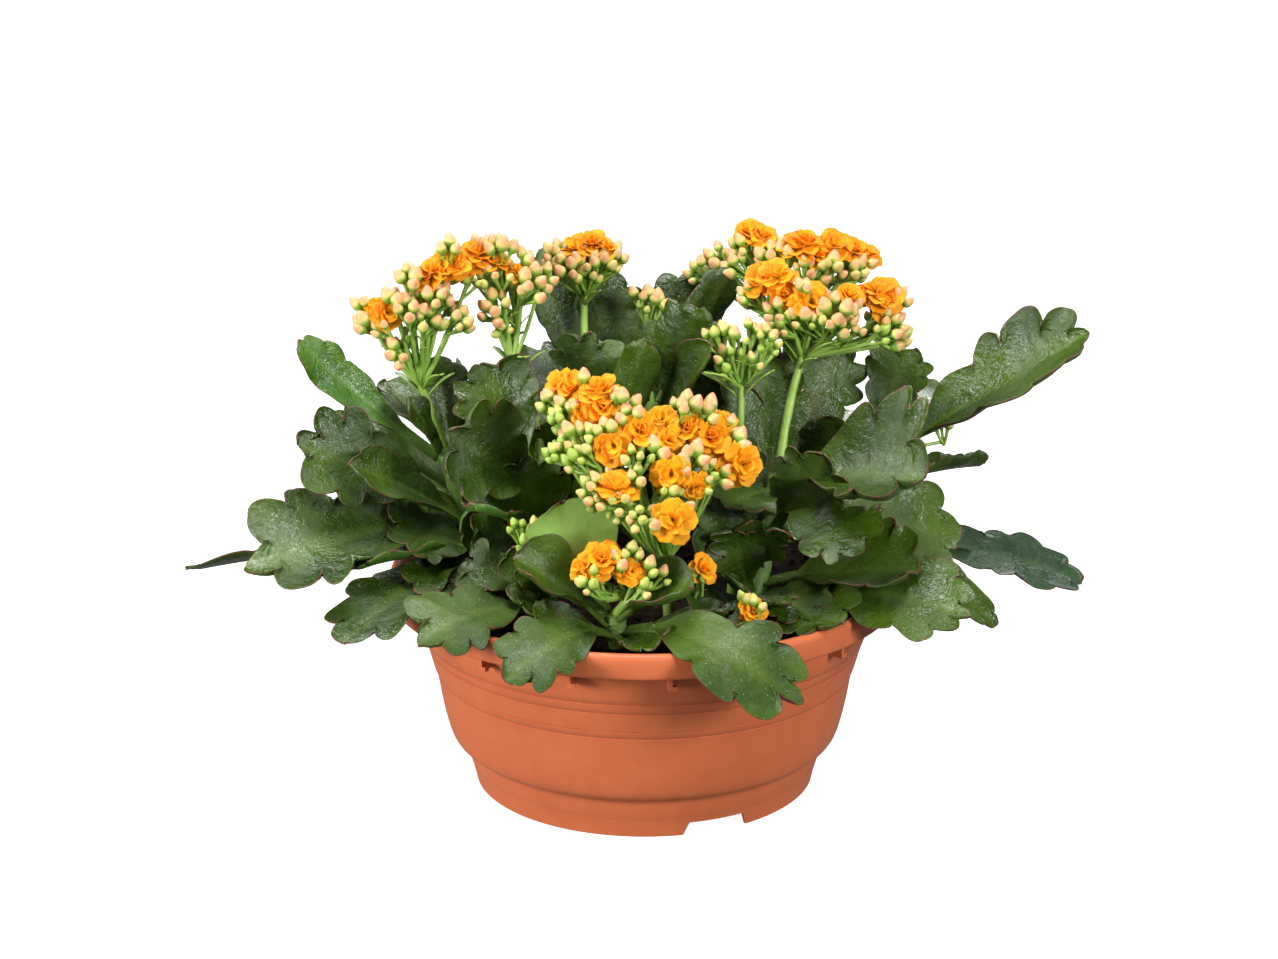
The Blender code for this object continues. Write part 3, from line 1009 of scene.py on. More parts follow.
@dataclass(frozen=True)
class Stem:
    """A green stem: three points of its axis, and the radius at its foot and its top."""

    points: tuple
    foot: float
    top: float

    def at(self, t: float) -> tuple[np.ndarray, np.ndarray, float]:
        """Finds a place on the stem.

        Args:
            t: How far up the stem it is, from nought to one.

        Returns:
            The axis's point there, its direction, and the stem's radius.
        """
        first, middle, last = (np.asarray(p, float) for p in self.points)
        point = (1 - t) ** 2 * first + 2 * t * (1 - t) * middle + t * t * last
        axis = unit(2 * (1 - t) * (middle - first) + 2 * t * (last - middle))
        return point, axis, self.foot + (self.top - self.foot) * t


STEMS = {
    "left": Stem(((-66, 6, 98.6), (-88, 2, 130), (-97, 0, 168)), 5.0, 4.0),
    "mid_left": Stem(((-44, -8, 97.0), (-49, -12, 130), (-48, -10, 158)), 5.0, 4.0),
    "front_left": Stem(((-44, -56, 97.0), (-46, -58, 106), (-46, -58, 114)), 4.5, 4.0),
    "front": Stem(((-12, -80, 96.4), (-13, -80, 104), (-14, -80, 112)), 5.0, 4.5),
    "right": Stem(((52, -34, 97.2), (58, -26, 130), (64, -14, 160)), 5.0, 4.0),
    "right_back": Stem(((84, 18, 98.0), (104, 20, 130), (112, 18, 166)), 5.0, 4.0),
    "back": Stem(((6, 30, 97.0), (4, 26, 140), (4, 24, 184)), 5.0, 4.0),
    "back_left": Stem(((-28, 34, 96.8), (-30, 26, 140), (-29, 22, 186)), 5.0, 4.0),
}


@dataclass(frozen=True)
class Leaf:
    """A scalloped leaf that grows from a stem.

    at is how far up the stem it grows, and face is the way its upper side looks. bow lifts
    its middle towards face and cup lifts its edges. wave is how far its margin ripples, and
    skew makes the lobes of one side deeper: above nought its left, seen along it.
    """

    stem: str
    at: float
    tip: Point
    width: float
    face: Point
    bow: float = 6.0
    cup: float = 0.25
    lobes: int = 3
    depth: float = 0.3
    wave: float = 1.6
    tone: LeafTone = LeafTone.DEEP
    skew: float = 0.0


# The leaves that stand for solids of the same name.
LEAVES = {
    "leaf_left_tall": Leaf(
        "left", 0.95, (-164, -15, 226), 23, (0.6, -0.7, 0.2), -4, 0.1, 4, 0.14, tone=LeafTone.FRESH,
        skew=-1.0,
    ),
    "leaf_left_mid": Leaf("left", 0.62, (-166, -30, 180), 52, (0.2, -0.75, 0.6), 4, 0.3, 3, 0.4),
    "leaf_left_behind": Leaf("left", 0.72, (-158, 24, 174), 42, (0.2, -0.5, 0.8), 4, 0.2, 3, 0.3),
    "leaf_left_curl": Leaf("left", 0.5, (-139, -42, 173), 26, (-0.2, -0.6, 0.7), 3, 0.4, 2, 0.2),
    "leaf_left_finger": Leaf("left", 0.99, (-113, -14, 197), 14, (0.6, -0.6, 0.4), 2, 0.3, 2, 0.1),
    "leaf_left_upright": Leaf("left", 0.9, (-102, 14, 210), 30, (0.3, 0.9, 0.3), 3, 0.2, 2, 0.2),
    "leaf_left_big": Leaf("left", 0.42, (-189, -60, 128), 66, (0.0, -0.5, 0.86), 12, 0.25, 3, 0.38),
    "leaf_left_low": Leaf(
        "left", 0.3, (-138, -56, 126), 28, (0.1, 0.1, 1.0), 4, 0.5, 3, 0.2, tone=LeafTone.FRESH
    ),
    "leaf_left_far": Leaf("left", 0.3, (-225, -4, 108), 32, (0.0, 0.3, 0.95), 5, 0.1, 3, 0.2),
    "leaf_left_hanging": Leaf(
        "left", 0.22, (-141, -88, 100), 50, (-0.4, -0.6, 0.7), 10, 0.1, 3, 0.35
    ),
    "leaf_centre_tall": Leaf(
        "mid_left", 0.95, (-79, 0, 211), 46, (-0.1, -0.95, 0.3), 3, 0.2, 3, 0.3
    ),
    "leaf_centre_big": Leaf(
        "mid_left", 0.8, (-92, -46, 190), 54, (-0.2, -0.75, 0.6), 4, 0.45, 3, 0.3
    ),
    "leaf_centre_curl": Leaf(
        "mid_left", 0.45, (-84, -62, 159), 30, (0.2, -0.1, 1.0), 4, 0.4, 3, 0.2, tone=LeafTone.FRESH
    ),
    "leaf_rim_left": Leaf(
        "front_left", 0.5, (-104, -102, 104), 52, (-0.1, -0.4, 0.9), 10, 0.1, 3, 0.35,
        tone=LeafTone.DUSTY,
    ),
    "leaf_soil_left": Leaf(
        "front_left", 0.95, (-87, -54, 127), 38, (0.0, -0.5, 0.85), 4, 0.15, 3, 0.3
    ),
    "leaf_front_left": Leaf(
        "front", 0.75, (-60, -88, 142), 29, (-0.1, -0.5, 0.85), 4, 0.75, 3, 0.04
    ),
    "leaf_front_right": Leaf(
        "front", 0.85, (22, -108, 134), 28, (0.1, -0.5, 0.85), 4, 0.75, 2, 0.03
    ),
    "leaf_rim_front": Leaf(
        "front", 0.35, (-64, -132, 99), 42, (0.0, -0.5, 0.85), 13, 0.1, 3, 0.3, tone=LeafTone.DUSTY
    ),
    "leaf_rim_right": Leaf(
        "front", 0.45, (70, -136, 88), 50, (0.1, -0.6, 0.8), 20, 0.1, 3, 0.35, tone=LeafTone.DUSTY
    ),
    "leaf_round_pale": Leaf(
        "front", 0.99, (-38, -72, 164), 46, (-0.1, -0.9, 0.4), 3, 0.1, 2, 0.06, 0.6, LeafTone.PALE
    ),
    "leaf_right_dark": Leaf("right", 0.3, (50, -58, 150), 42, (-0.1, -0.9, 0.3), 4, 0.3, 3, 0.35),
    "leaf_right_big": Leaf(
        "right", 0.95, (131, -58, 172), 80, (-0.1, -0.45, 0.87), 4, 0.6, 3, 0.34
    ),
    "leaf_right_inner": Leaf("right", 0.85, (38, -60, 158), 40, (-0.2, -0.7, 0.6), 3, 0.2, 3, 0.15),
    "leaf_right_hanging": Leaf(
        "right", 0.76, (101, -85, 144), 43, (0.1, -0.75, 0.65), 4, 0.1, 3, 0.35
    ),
    "leaf_right_mid": Leaf("right", 0.6, (154, -12, 131), 56, (0.1, -0.6, 0.8), 6, 0.1, 3, 0.3),
    "leaf_right_wavy": Leaf("right", 0.2, (128, -66, 127), 52, (0.0, -0.35, 0.93), 4, 0.4, 3, 0.2),
    "leaf_right_low": Leaf("right", 0.12, (152, -84, 113), 54, (0.05, -0.5, 0.86), 9, 0.1, 4, 0.25),
    "leaf_right_tip": Leaf(
        "right_back", 0.2, (171, -22, 84), 24, (0.1, -0.4, 0.9), 16, 0.1, 3, 0.25
    ),
    "leaf_right_far": Leaf(
        "right_back", 0.3, (225, 64, 77), 36, (0.05, -0.5, 0.85), 8, 0.1, 4, 0.35, 1.6,
        LeafTone.BLUISH,
    ),
    "leaf_right_slim": Leaf(
        "right_back", 0.65, (171, 46, 147), 30, (0.0, 0.3, 0.95), 3, 0.4, 4, 0.25
    ),
    "leaf_right_tall": Leaf(
        "right_back", 0.85, (212, -5, 228), 60, (-0.5, -0.35, 0.75), 2, 0.4, 4, 0.4, skew=1.0
    ),
    "leaf_back_right": Leaf(
        "right_back", 0.95, (132, 30, 210), 38, (-0.5, -0.8, 0.3), 3, 0.3, 3, 0.25
    ),
    "leaf_back_lobed": Leaf("right", 0.99, (99, 36, 214), 50, (0.0, 0.95, 0.2), 3, 0.1, 3, 0.35),
    "leaf_back_tall": Leaf("back", 0.9, (23, 62, 240), 42, (0.0, 0.95, 0.2), 3, 0.1, 3, 0.25),
    "leaf_back_finger": Leaf("back", 0.98, (42, 48, 245), 24, (-0.2, 0.9, 0.2), 3, 0.2, 3, 0.2),
    "leaf_back_diagonal": Leaf("back", 0.8, (26, -5, 239), 40, (0.5, 0.8, 0.3), 3, 0.2, 3, 0.25),
    "leaf_back_rolled": Leaf("back", 0.7, (31, -24, 226), 22, (-0.6, -0.6, 0.5), 3, 0.6, 2, 0.1),
    "leaf_top_dark": Leaf(
        "back_left", 0.84, (-26, 14, 222), 44, (-0.25, -0.9, 0.3), 1, 0.1, 3, 0.35
    ),
    "leaf_top_long": Leaf("back_left", 0.5, (2, -14, 226), 22, (0.5, 0.6, 0.6), 1, 0.2, 3, 0.15),
    "leaf_top_behind": Leaf(
        "back_left", 0.82, (-20, 74, 240), 44, (0.0, 0.95, 0.2), 3, 0.1, 3, 0.25
    ),
    "leaf_rear_left": Leaf(
        "back_left", 0.3, (-66, 149, 112), 54, (-0.1, 0.4, 0.9), 16, 0.1, 3, 0.3
    ),
    "leaf_rear_right": Leaf("back", 0.35, (52, 146, 118), 58, (0.1, 0.4, 0.9), 16, 0.1, 3, 0.3),
}

# Smaller inner leaves, and more leaves round the back, that have no solid of their own.
FILL_LEAVES = {
    "leaflet_left_top": Leaf("left", 0.98, (-127, 35, 192), 26, (0.2, -0.6, 0.7), 3, 0.3, 2, 0.2),
    "leaflet_centre_up": Leaf(
        "mid_left", 0.98, (-58, 45, 207), 26, (0.1, -0.9, 0.3), 3, 0.3, 2, 0.2
    ),
    "leaflet_left_bright": Leaf(
        "left", 0.15, (-83, -30, 150), 30, (0.1, -0.8, 0.5), 3, 0.3, 3, 0.2, 1.2, LeafTone.FRESH
    ),
    "leaflet_soil_left": Leaf(
        "left", 0.05, (-66, -56, 124), 30, (-0.1, -0.6, 0.8), 3, 0.2, 3, 0.25
    ),
    "leaflet_centre_dark": Leaf(
        "mid_left", 0.3, (-82, -46, 134), 34, (0, -0.7, 0.7), 3, 0.2, 3, 0.25
    ),
    "leaflet_front_a": Leaf(
        "front_left", 0.9, (-51, -72, 137), 24, (0.1, -0.8, 0.5), 3, 0.3, 2, 0.15
    ),
    "leaflet_front_b": Leaf(
        "front_left", 0.8, (-62, -66, 139), 22, (-0.1, -0.7, 0.6), 3, 0.3, 2, 0.15
    ),
    "leaflet_shade": Leaf("right", 0.1, (39, -55, 144), 30, (-0.1, -0.8, 0.5), 3, 0.2, 3, 0.2),
    "leaflet_rolled": Leaf("right", 0.05, (22, -96, 118), 26, (0, -0.5, 0.85), 3, 0.5, 3, 0.2),
    "leaflet_bluish": Leaf(
        "right_back", 0.12, (165, 50, 102), 30, (0.1, -0.2, 1), 8, 0.1, 3, 0.2, 1.2, LeafTone.BLUISH
    ),
    "leaflet_back_a": Leaf("back", 0.95, (72, 35, 202), 30, (0.1, -0.8, 0.5), 3, 0.2, 3, 0.2),
    "leaflet_back_b": Leaf("back", 0.9, (5, 35, 223), 28, (0, -0.9, 0.3), 3, 0.2, 3, 0.2),
    "leaflet_peak": Leaf("back_left", 0.97, (-52, 75, 249), 26, (0, 0.9, 0.3), 3, 0.2, 3, 0.2),
    "leaflet_heart_a": Leaf("mid_left", 0.5, (-14, -34, 176), 44, (0, -0.9, 0.4), 3, 0.2, 3, 0.3),
    "leaflet_heart_b": Leaf("back", 0.45, (22, -26, 184), 46, (0.1, -0.9, 0.3), 3, 0.2, 3, 0.3),
    "leaflet_heart_c": Leaf("right", 0.55, (84, -44, 178), 42, (0.1, -0.9, 0.4), 3, 0.2, 3, 0.3),
    "leaflet_heart_d": Leaf(
        "back_left", 0.4, (-42, -6, 186), 44, (-0.1, -0.9, 0.3), 3, 0.2, 3, 0.3
    ),
    "leaflet_heart_e": Leaf("right", 0.35, (24, -52, 150), 40, (-0.2, -0.8, 0.6), 3, 0.2, 3, 0.3),
    "leaflet_heart_f": Leaf(
        "right_back", 0.45, (88, 0, 184), 48, (-0.2, -0.9, 0.3), 3, 0.2, 3, 0.3
    ),
    "leaflet_heart_g": Leaf("back", 0.3, (52, 8, 176), 46, (0.1, -0.9, 0.4), 3, 0.2, 3, 0.3),
    "leaflet_heart_h": Leaf("back", 0.2, (-14, 0, 156), 44, (0.0, -0.8, 0.6), 3, 0.2, 3, 0.3),
    "leaflet_heart_i": Leaf("left", 0.7, (-72, 20, 176), 42, (-0.1, -0.9, 0.4), 3, 0.2, 3, 0.3),
    "leaflet_heart_j": Leaf("right_back", 0.2, (96, -34, 140), 46, (0, -0.7, 0.7), 3, 0.2, 3, 0.3),
    "leaflet_heart_k": Leaf("back", 0.6, (46, 4, 206), 44, (0.1, -0.95, 0.2), 3, 0.2, 3, 0.25),
    "leaflet_heart_l": Leaf("mid_left", 0.3, (-56, -26, 172), 40, (0, -0.9, 0.4), 3, 0.2, 3, 0.25),
    "leaflet_heart_m": Leaf("right", 0.3, (34, -14, 178), 42, (0.1, -0.9, 0.3), 3, 0.2, 3, 0.25),
    "leaflet_left_a": Leaf("left", 0.25, (-122, -38, 136), 42, (0, -0.6, 0.8), 4, 0.2, 3, 0.3),
    "leaflet_left_b": Leaf("left", 0.1, (-108, -60, 116), 40, (-0.1, -0.6, 0.8), 4, 0.2, 3, 0.3),
    "leaflet_left_c": Leaf("left", 0.15, (-120, 14, 122), 42, (-0.1, -0.4, 0.9), 6, 0.2, 3, 0.3),
    "leaflet_low_a": Leaf("right", 0.05, (92, -90, 111), 46, (0, -0.5, 0.86), 5, 0.15, 3, 0.25),
    "leaflet_low_b": Leaf("right", 0.03, (50, -92, 123), 38, (0.1, -0.7, 0.7), 4, 0.3, 3, 0.3),
    "leaflet_rim_a": Leaf("front", 0.3, (-50, -98, 109), 34, (0, -0.45, 0.9), 4, 0.25, 3, 0.25),
    "leaflet_rim_b": Leaf("front", 0.3, (46, -100, 109), 36, (0.1, -0.45, 0.9), 4, 0.25, 3, 0.25),
    "leaflet_rim_c": Leaf("front", 0.2, (4, -116, 108), 26, (0, -0.45, 0.9), 3, 0.3, 3, 0.2),
    "leaflet_rim_d": Leaf(
        "front_left", 0.3, (-54, -84, 114), 34, (0.1, -0.5, 0.85), 4, 0.25, 3, 0.25
    ),
    "leaflet_rim_e": Leaf("right", 0.1, (78, -82, 110), 38, (0, -0.45, 0.9), 5, 0.2, 3, 0.25),
    "leaflet_heart_n": Leaf("right", 0.5, (59, 10, 210), 46, (0, -0.9, 0.35), 3, 0.2, 3, 0.25),
    "leaflet_rear_k": Leaf("left", 0.75, (-92, 66, 184), 44, (-0.2, 0.8, 0.5), 4, 0.3, 3, 0.3),
    "leaflet_rear_l": Leaf("back_left", 0.45, (-58, 84, 150), 50, (-0.1, 0.7, 0.7), 6, 0.3, 3, 0.3),
    "leaflet_rear_m": Leaf("back", 0.45, (6, 88, 152), 50, (0, 0.7, 0.7), 6, 0.3, 3, 0.3),
    "leaflet_rear_n": Leaf("back", 0.6, (46, 74, 178), 44, (0.1, 0.8, 0.5), 4, 0.3, 3, 0.3),
    "leaflet_rear_o": Leaf("right_back", 0.6, (92, 84, 168), 46, (0, 0.8, 0.6), 5, 0.3, 3, 0.3),
    "leaflet_rear_p": Leaf("right_back", 0.3, (72, 92, 132), 50, (0, 0.6, 0.8), 6, 0.3, 3, 0.3),
    "leaflet_rear_q": Leaf("left", 0.35, (-82, 78, 132), 48, (-0.1, 0.6, 0.8), 6, 0.3, 3, 0.3),
    "leaflet_rear_r": Leaf("back_left", 0.75, (-8, 66, 200), 40, (0.1, 0.9, 0.4), 4, 0.3, 3, 0.3),
    "leaflet_rear_a": Leaf("left", 0.55, (-140, 78, 138), 50, (-0.2, 0.3, 0.9), 10, 0.15, 3, 0.35),
    "leaflet_rear_b": Leaf("left", 0.2, (-116, 104, 112), 46, (-0.3, 0.4, 0.85), 12, 0.1, 3, 0.3),
    "leaflet_rear_c": Leaf(
        "back_left", 0.55, (-92, 104, 168), 50, (-0.2, 0.5, 0.8), 8, 0.25, 3, 0.35
    ),
    "leaflet_rear_d": Leaf(
        "back_left", 0.66, (-36, 112, 186), 46, (0.0, 0.75, 0.6), 6, 0.3, 3, 0.3
    ),
    "leaflet_rear_e": Leaf("back", 0.55, (26, 122, 160), 52, (0.0, 0.6, 0.8), 8, 0.3, 3, 0.35),
    "leaflet_rear_f": Leaf("back", 0.68, (64, 98, 192), 44, (0.2, 0.7, 0.6), 5, 0.3, 3, 0.3),
    "leaflet_rear_g": Leaf(
        "right_back", 0.5, (106, 108, 152), 52, (0.1, 0.5, 0.85), 10, 0.2, 3, 0.35
    ),
    "leaflet_rear_h": Leaf(
        "right_back", 0.25, (128, 112, 112), 48, (0.2, 0.4, 0.9), 12, 0.1, 3, 0.3
    ),
    "leaflet_rear_i": Leaf("back", 0.15, (8, 132, 108), 44, (0.0, 0.4, 0.9), 12, 0.1, 3, 0.3),
    "leaflet_rear_j": Leaf(
        "right_back", 0.75, (162, 86, 172), 46, (0.2, 0.2, 0.95), 8, 0.25, 3, 0.35
    ),
}


@dataclass
class Foliage:
    """Every leaf, each bent from a flat grid and given its thickness."""

    across: int = 16
    along: int = 76
    thickness: float = 2.1
    petiole: float = 0.20
    petiole_reach: float = 2.7
    rib_slant: float = 0.22
    lobe_centre: float = 0.56
    lobed_turn: float = 2.4
    plain_turn: float = 2.55
    tooth_depth: float = 0.03
    groove: float = 1.0
    levels: int = 12

    def build(self, name: str, leaf: Leaf, order: int, finishes: Finishes) -> bpy.types.Object:
        """Makes one leaf.

        Args:
            name: The piece's name.
            leaf: Where it grows and its shape.
            order: A number that sets the small irregularities of its margin.
            finishes: The plant's materials.

        Returns:
            The finished leaf.
        """
        clear_selection()
        bpy.ops.mesh.primitive_grid_add(
            x_subdivisions=self.across, y_subdivisions=self.along, size=2
        )
        obj = bpy.context.object
        obj.name = name
        flat = coordinates(obj.data)
        s = -np.sin(flat[:, 0] * math.pi / 2)
        v = (flat[:, 1] + 1) / 2
        t = np.clip(np.sin(v * math.pi / 2), 0, 0.9995)
        move_points(obj.data, self.surface(leaf, t, s, order) * MM)
        self.store(obj, t, s)
        self.thicken(obj, t, s)
        obj.data.materials.append(finishes.upper[leaf.tone])
        obj.data.materials.append(finishes.under)
        return obj

    def store(self, obj: bpy.types.Object, t: np.ndarray, s: np.ndarray) -> None:
        """Stores where the margin, the midrib and any blotch are.

        Args:
            obj: The flat leaf.
            t: How far along the leaf each point is.
            s: How far across it each point is.
        """
        blade = np.clip((t - self.petiole) / 0.1, 0, 1)
        sides, end = np.clip((np.abs(s) - 0.92) / 0.07, 0, 1), np.clip((t - 0.985) / 0.01, 0, 1)
        paint(obj.data, "edge", np.maximum(sides, end) * blade)
        rib = np.exp(-((s / 0.07) ** 2)) * (1 - 0.6 * t)
        paint(obj.data, "rib", np.maximum(rib, 1 - blade))
        paint(obj.data, "blotch", np.exp(-(((t - 0.42) / 0.16) ** 2) - (((s + 0.1) / 0.42) ** 2)))

    def reach(self, leaf: Leaf, t: np.ndarray) -> np.ndarray:
        """Draws the leaf's outline before its margin is cut into lobes.

        Args:
            leaf: The leaf.
            t: How far along the leaf each point is.

        Returns:
            Half the leaf's width at each point.
        """
        u = np.clip((t - self.petiole) / (1 - self.petiole), 0, 1)
        blade = leaf.width / 2 * (u / 0.66) ** 0.97 * (np.clip(1 - u, 0, 1) / 0.34) ** 0.5
        ends = np.sqrt(np.clip(1 - u, 0, 1))
        inner = np.maximum(blade, self.petiole_reach * ends)
        return np.where(u <= 0, self.petiole_reach, np.where(u < 0.5, inner, blade))

    def lobing(
        self, leaf: Leaf, t: np.ndarray, s: np.ndarray, reach: np.ndarray, length: float, order: int
    ) -> tuple[np.ndarray, np.ndarray, np.ndarray]:
        """Cuts the margin into lobes, set out by angle about the blade's middle.

        Args:
            leaf: The leaf.
            t: How far along the leaf each point is.
            s: How far across it each point is.
            reach: Half the leaf's width at each point.
            length: The leaf's length.
            order: A number that sets the small irregularities.

        Returns:
            The share of its distance from the middle that each point keeps, less towards the
            notches. The lobes' own height, one in the middle of a lobe and nought in a notch.
            How near each point is to the margin.
        """
        start = self.petiole + self.lobe_centre * (1 - self.petiole)
        ahead = (t - start) / (1 - start)
        aside = reach * s / (leaf.width / 2)
        turn = np.arctan2(aside, ahead)
        turn = turn + 0.14 * np.sin(2.0 * turn + order * 1.7) + 0.05 * np.sin(5 * turn + order)
        step = self.lobed_turn / leaf.lobes
        count = np.round(np.abs(turn) / step)
        lobe = np.abs(np.cos(math.pi * turn / step)) ** 0.6
        tooth = np.abs(np.cos(math.pi * turn / step * 2.0 + 0.6)) ** 0.6
        uneven = 1 - 0.5 * np.sin(order * 1.3 + count * 2.1 + np.sign(turn)) ** 2
        depth = np.clip(leaf.depth * (1.35 + leaf.skew * np.sign(turn)), 0.05, 0.55) * uneven
        fade = np.clip((self.plain_turn - np.abs(turn)) / 0.5, 0, 1)
        margin = np.where(ahead > 0, np.sqrt(ahead**2 + aside**2), np.abs(s))
        near = np.clip(margin, 0, 1) ** 3
        half = leaf.width / 2
        far = np.hypot(ahead * (1 - start) * length, aside * half)
        share = half / np.maximum(half, far)
        cut = depth * (1 - lobe) + self.tooth_depth * (1 - tooth)
        kept = 1 - share * near * fade * cut
        return kept, lobe * fade, near

    def surface(self, leaf: Leaf, t: np.ndarray, s: np.ndarray, order: int) -> np.ndarray:
        """Bends the leaf's upper side into its place.

        Args:
            leaf: The leaf.
            t: How far along the leaf each point is.
            s: How far across it each point is.
            order: A number that sets the small irregularities.

        Returns:
            The points of the upper side, in millimetres.
        """
        point, axis, radius = STEMS[leaf.stem].at(leaf.at)
        tip = np.asarray(leaf.tip, float)
        away = tip - point
        away = unit(away - axis * away.dot(axis))
        lean = abs(unit(tip - point).dot(axis))
        foot = point + away * (radius * 0.5 + self.thickness * lean)
        chord = tip - foot
        length = float(np.linalg.norm(chord))
        forward = unit(chord)
        face = np.asarray(leaf.face, float)
        up = unit(face - forward * face.dot(forward))
        left = np.cross(up, forward)
        reach = self.reach(leaf, t)
        kept, lobe, near = self.lobing(leaf, t, s, reach, length, order)
        start = self.petiole + self.lobe_centre * (1 - self.petiole)
        slant = self.rib_slant * reach * np.abs(s) * np.clip(t / self.petiole, 0, 1) * (1 - t**4)
        t = start + (t + slant / length - start) * kept
        aside = reach * s * kept
        middle = foot + chord * t[:, None] + up * (leaf.bow * 4 * t * (1 - t))[:, None]
        ahead = chord + up * (leaf.bow * 4 * (1 - 2 * t))[:, None]
        ahead /= np.linalg.norm(ahead, axis=1)[:, None]
        over = np.cross(ahead, left)
        blade = np.clip((t - self.petiole) / 0.2, 0, 1)
        side = np.where(s < 0, 1.9, 0.0)
        ripple = leaf.wave * np.sin(2 * math.pi * (leaf.lobes * t * 0.9 + 0.13 * order) + side)
        lift = leaf.cup * np.abs(aside) * np.abs(s) + ripple * np.abs(s) ** 1.6 * blade
        lift += (0.55 - lobe) * near * blade * (1 - t**5) * min(2.6, leaf.width * 0.045)
        lift -= self.groove * np.exp(-((s / 0.16) ** 2)) * blade * (1 - 0.5 * t)
        curl = 0.10 * np.sin(order * 2.3) * reach * t**2
        return middle + left * (aside + curl)[:, None] + over * lift[:, None]

    def thicken(self, obj: bpy.types.Object, t: np.ndarray, s: np.ndarray) -> None:
        """Gives the leaf its thickness, which fades towards its margin.

        Args:
            obj: The bent leaf.
            t: How far along the leaf each point is.
            s: How far across it each point is.
        """
        share = np.sqrt(np.clip(1 - s**6, 0, 1)) * np.clip((1 - t) / 0.05, 0.2, 1) ** 0.5
        share = np.clip(share * np.where(t < self.petiole, 1.0, 0.9), 0.16, 1)
        levels = np.round(share * self.levels).astype(int)
        group = obj.vertex_groups.new(name="thickness")
        for level in np.unique(levels):
            points = np.flatnonzero(levels == level).tolist()
            group.add(points, level / self.levels, "REPLACE")
        solid = obj.modifiers.new("thickness", "SOLIDIFY")
        solid.thickness = self.thickness * MM
        solid.offset = -1
        solid.vertex_group = "thickness"
        solid.material_offset = 1
        apply_modifiers(obj)
        bpy.ops.object.shade_smooth()
        obj.vertex_groups.clear()


@dataclass
class StemWork:
    """The fleshy stems, swollen a little where leaves leave them."""

    rings: int = 26
    swelling: float = 0.10
    swelling_reach: float = 0.035

    def build(self, name: str, key: str, material: bpy.types.Material) -> bpy.types.Object:
        """Makes one stem.

        Args:
            name: The piece's name.
            key: The stem's key in the table of stems.
            material: The stem's skin.

        Returns:
            The finished stem.
        """
        stem = STEMS[key]
        shares = np.linspace(-0.04, 1.0, self.rings)
        points, radii = [], []
        nodes = [leaf.at for leaf in {**LEAVES, **FILL_LEAVES}.values() if leaf.stem == key]
        for share in shares:
            point, _, radius = stem.at(share)
            near = [(share - node) / self.swelling_reach for node in nodes]
            swell = sum(math.exp(-(distance**2)) for distance in near)
            end = 0.55 if share > 0.995 else 1.0
            points.append(point)
            radii.append(radius * (1 + self.swelling * min(1.5, swell)) * end)
        tubes = Tubes(name, 5)
        tubes.draw(points, radii)
        return tubes.build(material)


# ------------------------------------------------------------------ flowers


@dataclass(frozen=True)
class Head:
    """A flower head: its stalk, and the rounded sloping face its clusters and flowers lie on.

    stalk is three points of the stalk's axis. face is the middle of the face and lean how far
    the face leans back, in degrees. Each cluster is (across, up, radius, buds, ripeness), and
    each flower is (across, up, azimuth, elevation, size): azimuth 0 looks to the front and 90
    to the right. back is how far behind the face a second layer of clusters stands. bract is
    the length of its largest bracts. The face falls back towards its sides by round times the
    square of the distance, and by at most sides.
    """

    stalk: tuple
    face: Point
    lean: float
    clusters: tuple
    flowers: tuple = ()
    radius: float = 2.4
    back: float = 0.0
    bract: float = 22.0
    round: float = 0.011
    sides: float = 16.0

    def spot(self, across: float, up: float, depth: float = 0.0) -> np.ndarray:
        """Finds a place on the head's face.

        Args:
            across: How far to the right it is.
            up: How far up the face it is.
            depth: How far behind the face it is.

        Returns:
            The place, in millimetres.
        """
        lean = math.radians(self.lean)
        rise = np.array([0, math.sin(lean), math.cos(lean)])
        behind = min(self.sides, self.round * across * across) + depth
        flat = np.array([across, 0, 0]) + rise * up + np.array([0, behind, -0.25 * depth])
        return np.asarray(self.face, float) + flat


